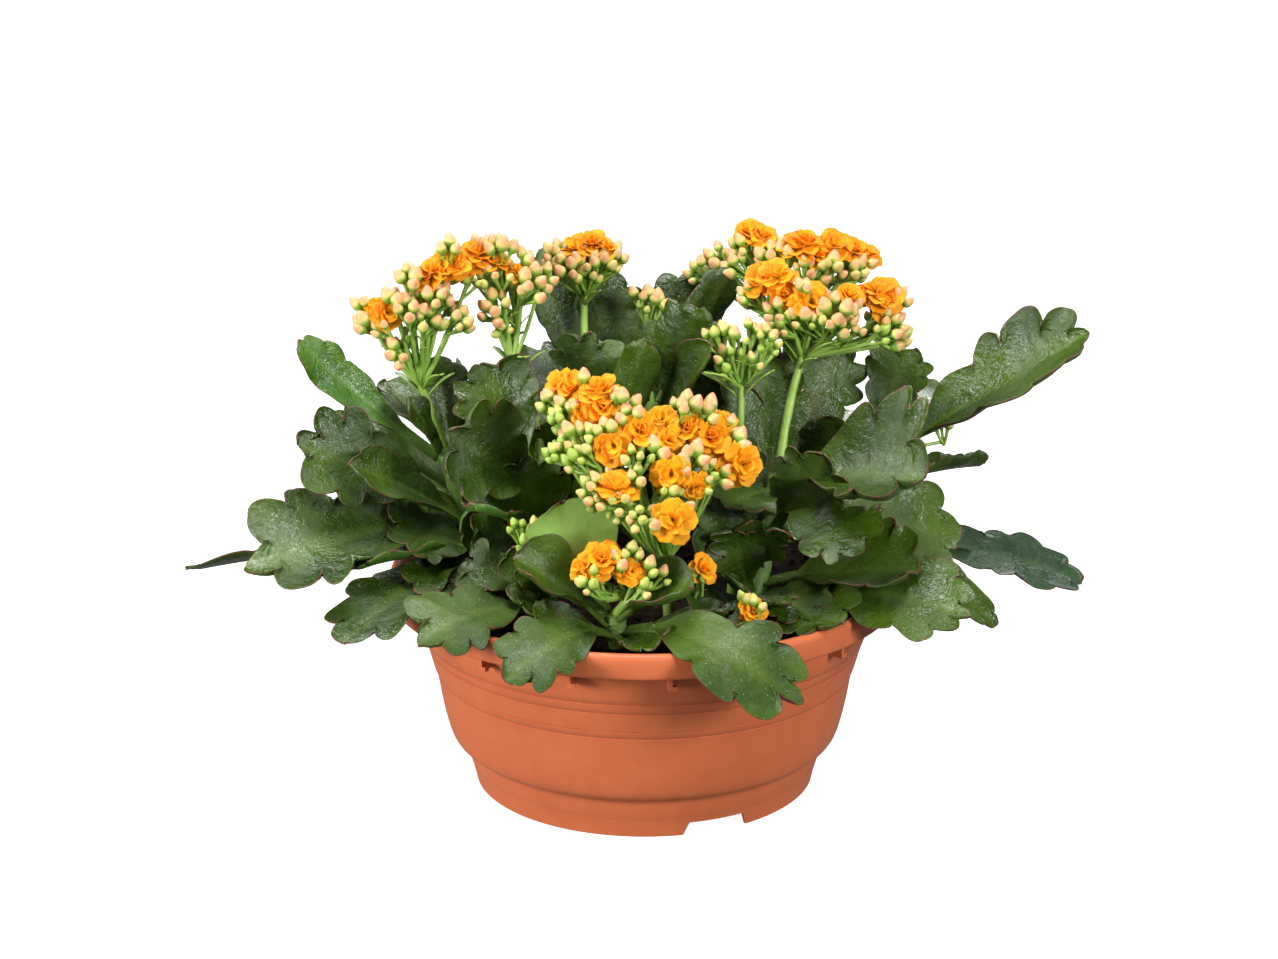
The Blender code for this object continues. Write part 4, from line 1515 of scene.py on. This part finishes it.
HEADS = {
    "flowers_left": Head(
        ((-97.6, 0, 166), (-102, 2, 184), (-108, 2, 199)), (-111.5, -7, 238.5), 15,
        (
            (-23, -6, 7, 6, 0.7), (-24, 2, 5, 3, 0.8), (0, 2, 9, 8, 0.9), (9.5, -4, 9, 8, 0.55),
            (13, 7, 10, 9, 0.7), (24, -5, 8, 7, 0.6), (-6.5, -21, 7, 4, 0.6),
            (0.5, 16.5, 9, 8, 0.9), (20, 29, 7, 4, 1.0), (29, 12, 6, 4, 0.1), (-8.5, 6, 6, 3, 0.9),
            (-14, -7, 6, 4, 0.5),
        ),
        (
            (-10.5, -1.5, 10, 30, 0.85), (-19, 2.5, -40, 45, 0.6), (8, 17, -30, 40, 0.9),
            (13, 20, -5, 55, 0.9), (20, 22, 10, 35, 0.95), (32, 25.5, 20, 60, 0.95),
            (28, 21, 5, 20, 0.8),
        ),
        2.4, 15.0,
    ),
    "flowers_mid_left": Head(
        ((-48.4, -9.4, 156), (-52, 8, 184), (-64, 12, 207)), (-67, 10, 251.5), 15,
        (
            (-11, 14, 7, 5, 0.8), (-3, 15, 8, 6, 0.9), (-3, 4, 10, 10, 0.5), (9.5, 9, 5, 3, 0.8),
            (14, -3, 12, 12, 0.8), (-6, -15.5, 10, 9, 0.6), (-1.5, -26, 5, 3, 0.3),
            (21, -1, 6, 3, 0.7), (-12, -4, 5, 3, 0.1),
        ),
        ((-4, 8, 40, 60, 0.8), (6, 4, 20, 70, 0.6)),
        2.4, 13.0,
    ),
    "flowers_centre_back": Head(
        ((-29, 22.4, 184), (-29.5, 30, 206), (-30, 50, 232)), (-29, 43, 251.5), 20,
        (
            (-15, 3, 8, 8, 0.6), (-16, -4, 7, 5, 0.4), (-8.5, -2, 9, 7, 0.75), (1.5, 1, 9, 8, 0.7),
            (12, 3, 10, 9, 0.8), (1, -7, 7, 5, 0.4), (10, -2, 8, 6, 0.4),
        ),
        ((-5, 7, -20, 60, 0.9), (3.5, 9, 10, 65, 0.9), (10, 7, 40, 60, 0.8)),
        2.4, 12.0,
    ),
    "flowers_back": Head(
        ((62, 44, 96), (66, 46, 160), (72, 50, 216)), (76.5, 45, 252), 20,
        (
            (-29, 4, 9, 8, 0.55), (-15, 4, 9, 9, 0.7), (-8, 3.5, 5, 3, 0.9), (7, -4, 10, 10, 0.5),
            (3, 0, 5, 2, 1.0), (17, -3.5, 7, 5, 0.5), (28.5, -7.5, 9, 8, 0.6),
            (34, -3.5, 6, 4, 0.6), (-43, -4.5, 9, 8, 0.9), (-33, -6.5, 8, 6, 0.8),
            (-52, -10.5, 7, 5, 0.5),
        ),
        (
            (-25, 12, -20, 60, 0.9), (-18, 11.5, 10, 70, 0.8), (-2.5, 6, -15, 55, 1.0),
            (3, 9, 30, 70, 0.95), (9, 2, 20, 40, 0.85), (18, 6, 10, 50, 1.0),
            (27.5, 3, 30, 55, 0.9), (34.5, -0.5, 50, 50, 0.9),
        ),
        3.0, 13.0,
    ),
    "flowers_right": Head(
        ((64.3, -13.4, 158), (68, -4, 188), (76, 6, 212)), (88.5, 0, 239), 15,
        (
            (-38.5, 3, 8, 6, 0.8), (-25, -3, 10, 8, 0.9), (-24, -10, 8, 7, 0.3),
            (-12, 9, 5, 3, 1.0), (4, -1, 12, 12, 0.95), (10.5, -9, 8, 7, 0.5), (-5, -6, 7, 5, 0.3),
            (36, 0.5, 6, 4, 0.8), (32, -12, 11, 12, 0.6), (37, -18.5, 6, 5, 0.2),
            (26, -15.5, 6, 4, 0.2), (12, 2, 6, 4, 0.8), (-14, -5, 6, 4, 0.8),
        ),
        (
            (-33.5, 10.5, -40, 40, 0.95), (-25, 14, -10, 60, 1.0), (-21.5, 4, 0, 25, 0.8),
            (-8.5, 1.5, 0, 20, 1.05), (27, 1.5, 10, 20, 1.1), (10, 6, 20, 60, 0.8),
            (24, 7, 0, 60, 0.8),
        ),
        2.6, 15.0,
    ),
    "flowers_green": Head(
        ((42, -14, 96), (46, -24, 150), (46, -12, 203)), (47.5, -16, 224.5), 15,
        (
            (-15, 3.5, 8, 5, 0.35), (-7, 6, 6, 3, 0.5), (-1.5, 3, 5, 2, 0.4), (4, 8, 6, 3, 0.5),
            (11, 3.5, 8, 5, 0.4), (-8, -4.5, 7, 5, 0.3), (-9.5, -12, 6, 4, 0.1),
            (5, -8.5, 5, 2, 0.3), (12, -3.5, 6, 4, 0.05),
        ),
        (), 2.4, 0.0, 26.0,
    ),
    "flowers_front": Head(
        ((12, -48, 96), (11, -54, 114), (10, -60, 130)), (-2, -83, 190), 37,
        (
            (-42, 23, 8, 6, 0.4), (-34, 26, 7, 4, 0.9), (-37, 15, 8, 8, 0.15),
            (-31, 20.5, 5, 3, 0.8), (-33, 5.5, 9, 7, 0.5), (-40, -3.5, 7, 7, 0.05),
            (-31.5, -5.5, 7, 5, 0.25), (-25, 0, 6, 4, 0.2), (-20, 10, 7, 5, 0.35),
            (-14, 14, 6, 3, 0.4), (-9, 27, 8, 5, 0.7), (-4, 20, 7, 4, 0.95), (-27.5, 34, 7, 4, 0.8),
            (-2, 0, 8, 6, 0.3), (8, 2.5, 6, 3, 1.0), (22.5, 22.5, 10, 7, 0.9),
            (32.5, 17.5, 9, 7, 0.6), (42.5, 8.5, 6, 3, 0.8), (26, -2, 7, 4, 0.9),
            (20.5, -6, 5, 2, 0.8), (32.5, -11, 7, 4, 0.2), (30.5, -18, 6, 4, 0.2),
            (39, -15.5, 5, 2, 1.0), (46.5, 2.5, 4, 2, 0.9), (-23, -19, 9, 9, 0.35),
            (-15, -24.5, 7, 5, 0.15), (-6.5, -27.5, 8, 6, 0.35), (0.5, -33, 6, 4, 0.1),
            (6, -36.5, 4, 1, 1.0), (22, -29, 5, 2, 0.8), (15, -20.5, 6, 4, 0.3),
            (-2, -11, 6, 4, 0.3),
        ),
        (
            (-38.5, 30.5, -40, 45, 0.95), (-32, 31, -10, 60, 0.8), (-19, 31.5, 0, 80, 1.05),
            (-26, 18.5, -10, 15, 0.9), (-17, 22, 15, 35, 0.9), (-12.5, 3.5, -15, 15, 1.0),
            (0, 12, 0, 25, 1.05), (10, 18, 10, 45, 0.85), (13, 6.5, 10, 30, 0.85),
            (21, 12, -15, 35, 0.85), (32.5, 5, 10, 20, 1.15), (37.5, 11, 20, 45, 0.9),
            (48, -10, 30, 20, 1.1), (14, -10, -5, 10, 1.05), (-10.5, -15.5, 0, 55, 1.0),
            (25.5, -19, 10, 0, 0.75), (14.5, -32, 0, 20, 1.1),
        ),
        3.2, 12.0,
    ),
    "flowers_low": Head(
        ((-13, -81, 112), (-9, -85, 119), (-6, -90, 124)), (-13.5, -103, 143.5), 35,
        (
            (-12, -4, 7, 5, 0.4), (2, 2.5, 5, 2, 0.8), (9.5, 6, 6, 4, 0.35),
            (16.5, -2.5, 6, 4, 0.3), (14, -12, 6, 3, 0.2), (22.5, -7, 4, 2, 0.3),
            (-11.5, -8.5, 6, 4, 0.2),
        ),
        ((-6, 2.5, 0, 35, 1.05), (-17.5, -2, -50, 30, 0.8), (8, -3, 10, 20, 0.75)),
        2.6, 8.0, 14.0,
    ),
}

# Little shoots that have no solid of their own.
SHOOTS = {
    "shoot_back": Head(
        ((4, 26, 182), (2, 38, 205), (1, 45, 220)), (1, 43, 233), 15,
        ((-4, 0, 6, 3, 1.0), (3, 0, 6, 3, 1.0), (7, -3, 5, 3, 0.7), (-1, -6, 5, 3, 0.2)),
        (), 1.4, 0.0, 0.0,
    ),
    "shoot_right": Head(
        ((64, -14, 158), (68, 16, 172), (69, 18, 182)), (68, 12, 194), 15,
        ((-3, 0, 6, 4, 0.6), (4, -1, 6, 3, 0.3)), (), 1.3, 0.0, 10.0,
    ),
    "shoot_left": Head(
        ((-46, -58, 112), (-50, -60, 124), (-52, -60, 134)), (-53, -64, 147), 35,
        ((-6, 2, 7, 6, 0.05), (3, 1, 7, 6, 0.1), (-1, -6, 7, 5, 0.0), (8, -3, 5, 3, 0.0)),
        (), 1.5, 0.0, 9.0,
    ),
    "shoot_far": Head(
        ((112, 18, 160), (132, 26, 160), (146, 29, 162)), (148, 28, 172), 15,
        ((0, 0, 6, 4, 0.3),), (), 1.2, 0.0, 0.0,
    ),
    "shoot_low_a": Head(
        ((14, -76, 98), (22, -82, 118), (26, -84, 128)), (28, -88, 137), 30,
        ((-3, -4, 4, 2, 0.1),), ((0, 0, 30, 30, 0.75),), 1.1, 0.0, 9.0,
    ),
    "shoot_low_b": Head(
        ((40, -70, 98), (45, -86, 108), (47, -92, 114)), (48, -97, 121), 30,
        ((-2, 4, 4, 3, 0.3), (4, 2, 4, 2, 0.3)), ((2, -2, 20, 20, 0.7),), 1.1, 0.0, 0.0,
    ),
}


@dataclass
class FlowerWork:
    """Moulds for buds and double flowers, and the stalks that carry them."""

    finishes: Finishes
    bud_length: float = 9.4
    # Each ring of petals: how many, how long, and how far they open in degrees.
    petals: tuple = ((5, 10.4, 84), (5, 9.6, 64), (4, 8.2, 42), (3, 6.4, 18))
    flower_moods: tuple = (0.25, 0.9, 0.55)
    bud_clearance: float = 5.5
    cluster_spread: float = 1.35
    spread_depth: float = 22.0
    hub_gap: float = 5.0
    hub_drop: float = 2.5
    flower_sink: float = 4.0
    rear_share: float = 0.8
    rear_gap: float = 4.0
    rear_elevation: float = 45.0
    petal_shape: tuple = (5.9, 0.30)
    bract_shape: tuple = (2.4, 0.25)
    bloom_seed: int = 40
    head_seed: int = 100
    bud: Mould = field(init=False)
    blooms: list = field(init=False)
    bract: Mould = field(init=False)

    def __post_init__(self) -> None:
        """Makes the moulds."""
        self.bud = self.make_bud()
        petal = self.make_petal(*self.petal_shape)
        self.blooms = [self.make_bloom(petal, kind) for kind in range(len(self.flower_moods))]
        self.bract = self.make_petal(*self.bract_shape)

    def make_bud(self) -> Mould:
        """Shapes a plump pointed bud, with four seams that twist towards its tip.

        Returns:
            The bud's mould, of length one.
        """
        clear_selection()
        bpy.ops.mesh.primitive_uv_sphere_add(segments=12, ring_count=8, radius=1.0)
        obj = bpy.context.object
        points = coordinates(obj.data)
        rise = (points[:, 2] + 1) / 2
        turn = np.arctan2(points[:, 1], points[:, 0])
        width = 0.385 * np.sin(math.pi * rise**0.84) ** 0.62 * (1 - 0.16 * rise)
        lobes = 1 + 0.07 * np.cos(4 * turn) * rise
        twist = turn + 0.5 * rise
        pole = (rise < 0.001) | (rise > 0.999)
        width = np.where(pole, 0, width * lobes)
        move_points(obj.data, np.stack([width * np.cos(twist), width * np.sin(twist), rise], 1))
        paint(obj.data, "rise", rise)
        paint(obj.data, "seam", np.where(pole, 0, 0.5 - 0.5 * np.cos(4 * turn)) * rise)
        return Mould(obj)

    def make_petal(self, width: float, dish: float) -> Mould:
        """A petal of length one that stands up from the origin and opens towards +Y.

        Args:
            width: Its width, where its length is 8.
            dish: How hollow it is.

        Returns:
            The petal as a mould.
        """
        clear_selection()
        bpy.ops.mesh.primitive_grid_add(x_subdivisions=5, y_subdivisions=6, size=2)
        obj = bpy.context.object
        flat = coordinates(obj.data)
        s, t = -flat[:, 0], (flat[:, 1] + 1) / 2
        t = np.sin(t * math.pi / 2)
        reach = width / 16 * (0.22 + 1.7 * t**1.1) * np.sqrt(np.clip(1.001 - t**4, 0, 1))
        bend = 0.20 * t**2.2
        depth = dish * reach * s * s
        length = t * (1 - 0.05 * s * s)
        move_points(obj.data, np.stack([reach * s, bend - depth, length], 1))
        paint(obj.data, "reach", t)
        rim = np.maximum(np.abs(s), np.clip((t - 0.75) * 4, 0, 1))
        paint(obj.data, "rim", rim * np.clip(t * 2, 0, 1))
        solid = obj.modifiers.new("thickness", "SOLIDIFY")
        solid.thickness = 0.03
        solid.offset = 0
        apply_modifiers(obj)
        recalculate_normals(obj)
        return Mould(obj)

    def make_bloom(self, petal: Mould, kind: int) -> Mould:
        """A double flower that faces up from the origin, with its petals in rings.

        Args:
            petal: The petal's mould.
            kind: Which of the kinds it is.

        Returns:
            The flower as a mould.
        """
        draw = np.random.default_rng(self.bloom_seed + kind)
        places, tones = [], []
        mood = self.flower_moods[kind]
        for ring, (count, length, tilt) in enumerate(self.petals):
            for i in range(count):
                spin = 2 * math.pi * (i + 0.5 * ring + draw.uniform(-0.18, 0.18)) / count
                lean = math.radians(tilt - 8 * kind + draw.uniform(-13, 13))
                grow = length * draw.uniform(0.84, 1.08)
                size = Matrix.Diagonal((grow * draw.uniform(0.85, 1.12), grow, grow, 1))
                tip = Matrix.Rotation(-lean, 4, "X")
                out = Matrix.Translation((0, 0.6, 0.5 * ring))
                curl = Matrix.Rotation(draw.uniform(-0.35, 0.35), 4, "Z")
                places.append(Matrix.Rotation(spin, 4, "Z") @ out @ tip @ curl @ size)
                tones.append(min(1.0, max(0.0, mood + draw.uniform(-0.3, 0.3))))
        flower = petal.cast(
            f"flower_{kind}", places, [self.finishes.petal], tones, scale=1.0
        )
        return Mould(flower)

    def build(self, name: str, head: Head, order: int) -> list[bpy.types.Object]:
        """Makes one flower head.

        Args:
            name: The head's name, which its pieces' names start with.
            head: Its stalk, clusters and flowers.
            order: A number that sets its small irregularities.

        Returns:
            Its pieces, with its stalks first.
        """
        draw = np.random.default_rng(self.head_seed + order)
        tubes = Tubes(f"{name}_stalks", 2)
        tubes.draw(curve_through(head.stalk, 14), np.linspace(head.radius, head.radius * 0.75, 14))
        middle = head.spot(0, 0, 0.5 * head.back) - np.array([0, 0, self.spread_depth])
        seats = [head.spot(across, up) for across, up, *_ in head.flowers]
        hubs, buds, ripeness = [], [], []
        for across, up, radius, count, ripe in head.clusters:
            centre = head.spot(across, up, draw.uniform(-1.5, 2.5))
            hubs.append(self.cluster(
                tubes, head, centre, middle, (radius, count, ripe), seats, buds, ripeness, draw
            ))
        layer = list(head.clusters[::2]) if head.back else []
        for across, up, radius, count, ripe in layer:
            centre = head.spot(across * 0.85 + draw.uniform(-3, 3), up * 0.8 - 1, head.back)
            hubs.append(self.cluster(
                tubes, head, centre, middle, (radius, count, ripe), [], buds, ripeness, draw
            ))
        blooms, kinds = [], []
        for seat, (_, _, azimuth, elevation, size) in zip(seats, head.flowers):
            blooms.append(self.flower(tubes, hubs, seat, azimuth, elevation, size, draw))
            kinds.append(int(draw.integers(len(self.flower_moods))))
        for across, up, azimuth, _, size in (head.flowers[::3] if head.back else ()):
            share, turned = self.rear_share, 180 - azimuth
            seat = head.spot(across * share, up * share, head.back + self.rear_gap)
            blooms.append(
                self.flower(tubes, hubs, seat, turned, self.rear_elevation, size, draw)
            )
            kinds.append(int(draw.integers(len(self.flower_moods))))
        pieces = [tubes.build(self.finishes.stalk)]
        pieces.append(self.bud.cast(f"{name}_buds", buds, [self.finishes.bud], ripeness))
        pieces += self.cast_blooms(name, blooms, kinds)
        if head.bract:
            pieces.append(self.cast_bracts(name, head, hubs, draw))
        return pieces

    def cluster(
        self, tubes: Tubes, head: Head, centre: np.ndarray, middle: np.ndarray,
        kind: tuple[float, int, float], seats: list[np.ndarray], buds: list[Matrix],
        ripeness: list[float], draw: Draw,
    ) -> np.ndarray:
        """Draws one cluster's branch and stalks and adds its buds.

        Args:
            tubes: The head's stalks.
            head: The head.
            centre: The cluster's middle.
            middle: The point the whole head spreads from.
            kind: The cluster's radius, number of buds and ripeness.
            seats: Where flowers sit, which buds keep clear of.
            buds: The buds' places, added to.
            ripeness: The buds' ripeness, added to.
            draw: The source of small irregularities.

        Returns:
            The hub that the cluster's stalks leave from.
        """
        radius, count, ripe = kind
        node = np.asarray(head.stalk[2], float)
        out = unit(centre - middle)
        hub = centre - out * (radius * 0.6 + self.hub_gap) - np.array([0, 0, self.hub_drop])
        reach = hub - node
        bow = node + reach * 0.5 + np.array([reach[0], reach[1], 0]) * 0.2
        thick = min(head.radius * 0.6, 0.75 + 0.12 * count)
        tubes.draw(curve_through((node, bow, hub), 7), np.linspace(thick, thick * 0.8, 7))
        side = unit(np.cross(out, (0.3, 0.9, 0.1)))
        other = np.cross(out, side)
        for i in range(count):
            share = math.sqrt((i + 0.4) / count)
            turn = i * GOLDEN_TURN + draw.uniform(-0.3, 0.3)
            slope = share * self.cluster_spread
            spread = side * math.cos(turn) + other * math.sin(turn)
            way = out * math.cos(slope) + spread * math.sin(slope)
            size = self.bud_length * draw.uniform(0.72, 1.08) * (1.08 - 0.3 * share)
            size *= 0.7 + 0.35 * min(1, ripe * 1.4)
            spot = centre + way * radius * draw.uniform(0.8, 1.0) - out * radius * 0.55
            facing = unit(way * 0.9 + out * 0.35 + np.array([0, 0, 0.55]) + draw.normal(0, 0.13, 3))
            crowded = any(np.linalg.norm(spot - seat) < self.bud_clearance for seat in seats)
            if crowded and count > 3:
                continue
            seat = spot - facing * size * 0.5
            stalk = curve_through((hub, (hub + seat) / 2 + way * 1.2, seat), 4)
            tubes.draw(stalk, (0.8, 0.75, 0.75, 1.1))
            turned = Matrix.Translation(seat) @ aim(facing, draw.uniform(0, TURN))
            buds.append(turned @ Matrix.Scale(size, 4))
            tone = ripe * (1.2 - 0.35 * share) + draw.normal(0.05, 0.15)
            ripeness.append(min(1.0, max(0.0, tone)))
        return hub

    def flower(
        self, tubes: Tubes, hubs: list[np.ndarray], seat: np.ndarray, azimuth: float,
        elevation: float, size: float, draw: Draw,
    ) -> Matrix:
        """Draws one flower's stalk and seats the flower on it.

        Args:
            tubes: The head's stalks.
            hubs: Where stalks can leave from. The nearest is taken.
            seat: Where the flower sits.
            azimuth: The way it looks, in degrees from the front towards the right.
            elevation: How far up it looks, in degrees.
            size: Its size, where one is the usual.
            draw: The source of small irregularities.

        Returns:
            How the flower is placed, turned and scaled.
        """
        a, e = math.radians(azimuth), math.radians(elevation)
        way = np.array([math.sin(a) * math.cos(e), -math.cos(a) * math.cos(e), math.sin(e)])
        facing = unit(way + draw.normal(0, 0.08, 3))
        foot = seat - facing * self.flower_sink
        hub = min(hubs, key=lambda h: np.linalg.norm(h - foot + np.array([0, 0, 3.0])))
        tubes.draw(curve_through((hub, (hub + foot) / 2 + way, foot), 6), np.linspace(0.9, 0.9, 6))
        turn = aim(facing, draw.uniform(0, TURN))
        return Matrix.Translation(foot) @ turn @ Matrix.Scale(size, 4)

    def cast_blooms(
        self, name: str, blooms: list[Matrix], kinds: list[int]
    ) -> list[bpy.types.Object]:
        """Makes the head's open flowers.

        Args:
            name: The head's name.
            blooms: How each flower is placed.
            kinds: Which mould each flower comes from.

        Returns:
            The flowers as one piece, or nothing if there are none.
        """
        made = []
        for kind, mould in enumerate(self.blooms):
            places = [place for place, k in zip(blooms, kinds) if k == kind]
            if places:
                made.append(mould.cast(f"{name}_blooms", places, [self.finishes.petal]))
        return [joined(made)] if made else []

    def cast_bracts(
        self, name: str, head: Head, hubs: list[np.ndarray], draw: Draw
    ) -> bpy.types.Object:
        """Makes pairs of narrow bracts at the stalk's node and on the branches.

        Args:
            name: The head's name.
            head: The head.
            hubs: Where its branches end.
            draw: The source of small irregularities.

        Returns:
            The bracts as one piece.
        """
        places = []
        node = np.asarray(head.stalk[2], float)
        axis = unit(node - np.asarray(head.stalk[1], float))
        spots = [
            (node - axis * 2, head.bract, head.radius),
            (node - axis * 6, head.bract * 0.8, head.radius),
        ]
        for hub in hubs[::2]:
            spots.append((node + (hub - node) * 0.6, head.bract * 0.45, 1.0))
        for spot, length, thick in spots:
            start = draw.uniform(0, TURN)
            for half_turn in (0.0, math.pi):
                spin = Matrix.Rotation(start + half_turn, 4, "Z")
                lean = Matrix.Rotation(-math.radians(draw.uniform(25, 55)), 4, "X")
                out = Matrix.Translation((0, thick * 0.5, 0))
                grow = Matrix.Diagonal((length * 0.85, length, length, 1))
                places.append(Matrix.Translation(spot) @ spin @ out @ lean @ grow)
        return self.bract.cast(f"{name}_bracts", places, [self.finishes.stalk])


# ------------------------------------------------------------------- studio


@dataclass
class Studio:
    """A white floor and backdrop, soft lamps all round, and the camera."""

    lens: float = 86.9
    camera_place: Point = (-0.0027, -1.4306, 0.6029)
    camera_tilt: float = 72.5
    sky_strength: float = 0.22
    floor_size: float = 14.0
    dome_radius: float = 6.6

    def build(self) -> None:
        """Sets the studio up."""
        self.floor()
        self.backdrop()
        self.sky()
        self.lamp("lamp_right", (1.2, -1.25, 0.8), (0, 0, 0.10), 0.5, 25.0)
        self.lamp("lamp_left", (-1.45, -0.8, 0.42), (0, 0, 0.12), 0.6, 30.0)
        self.lamp("lamp_top", (-0.05, -0.2, 1.35), (0, 0, 0.15), 0.5, 14.0)
        self.lamp("lamp_back", (0.5, 1.5, 0.9), (0, 0, 0.12), 0.8, 16.0)
        sheen = self.lamp("lamp_sheen", (-0.45, 0.15, 1.2), (0, 0, 0.15), 0.4, 9.5)
        sheen.visible_diffuse = False
        self.camera()
        bpy.context.scene.view_settings.view_transform = "Standard"

    def floor(self) -> None:
        """The floor, a little luminous so that it stays pale all over."""
        clear_selection()
        bpy.ops.mesh.primitive_plane_add(size=self.floor_size, location=(0, 0, 0))
        floor = bpy.context.object
        floor.name = "floor"
        bench = Bench("floor_paper")
        floor.data.materials.append(
            bench.finish(
                Base_Color=(0.45, 0.45, 0.45), Roughness=0.9,
                Emission_Color=WHITE, Emission_Strength=0.9,
            )
        )
        self.only_seen(floor)

    def backdrop(self) -> None:
        """A white dome all round, which only closes the view."""
        clear_selection()
        bpy.ops.mesh.primitive_uv_sphere_add(segments=48, ring_count=24, radius=self.dome_radius)
        dome = bpy.context.object
        dome.name = "backdrop"
        bpy.ops.object.shade_smooth()
        bench = Bench("backdrop_paper")
        dome.data.materials.append(
            bench.finish(
                Base_Color=(0.0, 0.0, 0.0), Roughness=1.0,
                Emission_Color=WHITE, Emission_Strength=1.0,
            )
        )
        dome.visible_shadow = False
        dome.visible_transmission = False
        self.only_seen(dome)

    def only_seen(self, obj: bpy.types.Object) -> None:
        """Marks part of the studio, which is seen but throws no light back on the plant.

        Args:
            obj: The floor or the backdrop.
        """
        obj.visible_diffuse = False
        obj.visible_glossy = False

    def sky(self) -> None:
        """Even pale light from all round."""
        world = bpy.data.worlds.new("studio")
        bpy.context.scene.world = world
        world.use_nodes = True
        light = world.node_tree.nodes["Background"]
        light.inputs["Color"].default_value = (*WHITE, 1.0)
        light.inputs["Strength"].default_value = self.sky_strength

    def lamp(
        self, name: str, place: Point, target: Point, size: float, power: float
    ) -> bpy.types.Object:
        """Hangs a square soft lamp.

        Args:
            name: The lamp's name.
            place: Where it hangs, in metres.
            target: What it looks at.
            size: The length of its side.
            power: Its power in watts.

        Returns:
            The lamp.
        """
        light = bpy.data.lights.new(name, "AREA")
        light.energy = power
        light.size = size
        obj = bpy.data.objects.new(name, light)
        bpy.context.scene.collection.objects.link(obj)
        way = Vector(target) - Vector(place)
        obj.location = place
        obj.rotation_euler = way.to_track_quat("-Z", "Y").to_euler()
        return obj

    def camera(self) -> None:
        """The camera, a little above the plant and in front of it."""
        data = bpy.data.cameras.new("camera")
        data.lens = self.lens
        data.sensor_width = 36.0
        data.clip_start = 0.05
        data.clip_end = 60.0
        camera = bpy.data.objects.new("camera", data)
        bpy.context.scene.collection.objects.link(camera)
        camera.location = self.camera_place
        camera.rotation_euler = (math.radians(self.camera_tilt), 0, 0)
        bpy.context.scene.camera = camera


# --------------------------------------------------------------------- main


def place_piece(piece: bpy.types.Object, slot: str, *nodes: str) -> None:
    """Says what a piece rides on and which solids it stands for.

    Args:
        piece: The finished piece.
        slot: The name of its finish in the part. It is not used.
        *nodes: The solids it stands for.
    """
    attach(piece, "root")
    if nodes:
        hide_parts(*nodes)
    LOG.info("%s: %d faces", piece.name, len(piece.data.polygons))


def main() -> None:
    """Builds the whole plant and the studio around it."""
    logging.basicConfig(level=logging.INFO, format="%(name)s: %(message)s")
    Studio().build()
    finishes = Finishes()
    place_piece(Bowl().build(finishes.bowl), "pot_plastic", "pot")
    compost = Compost()
    place_piece(compost.build(finishes.peat), "soil", "soil")
    place_piece(compost.crumbs(finishes.peat), "soil")
    stems = StemWork()
    for key in STEMS:
        stem = stems.build(f"plant_stem_{key}", key, finishes.stem)
        place_piece(stem, "stem_green", f"stem_{key}")
    foliage = Foliage()
    for order, (name, leaf) in enumerate(LEAVES.items()):
        place_piece(foliage.build(f"look_{name}", leaf, order, finishes), "leaf_green", name)
    for order, (name, leaf) in enumerate(FILL_LEAVES.items()):
        leaflet = foliage.build(name, leaf, order + LEAFLET_ORDER, finishes)
        place_piece(leaflet, "leaf_green")
    flowers = FlowerWork(finishes)
    for order, (name, head) in enumerate(HEADS.items()):
        stalks, *others = flowers.build(name, head, order)
        place_piece(stalks, "flower_heads", name)
        for piece in others:
            place_piece(piece, "flower_heads")
    for order, (name, head) in enumerate(SHOOTS.items()):
        shoot = joined(flowers.build(name, head, order + SHOOT_ORDER))
        shoot.name = name
        place_piece(shoot, "flower_heads")


if __name__ == "__main__":
    main()
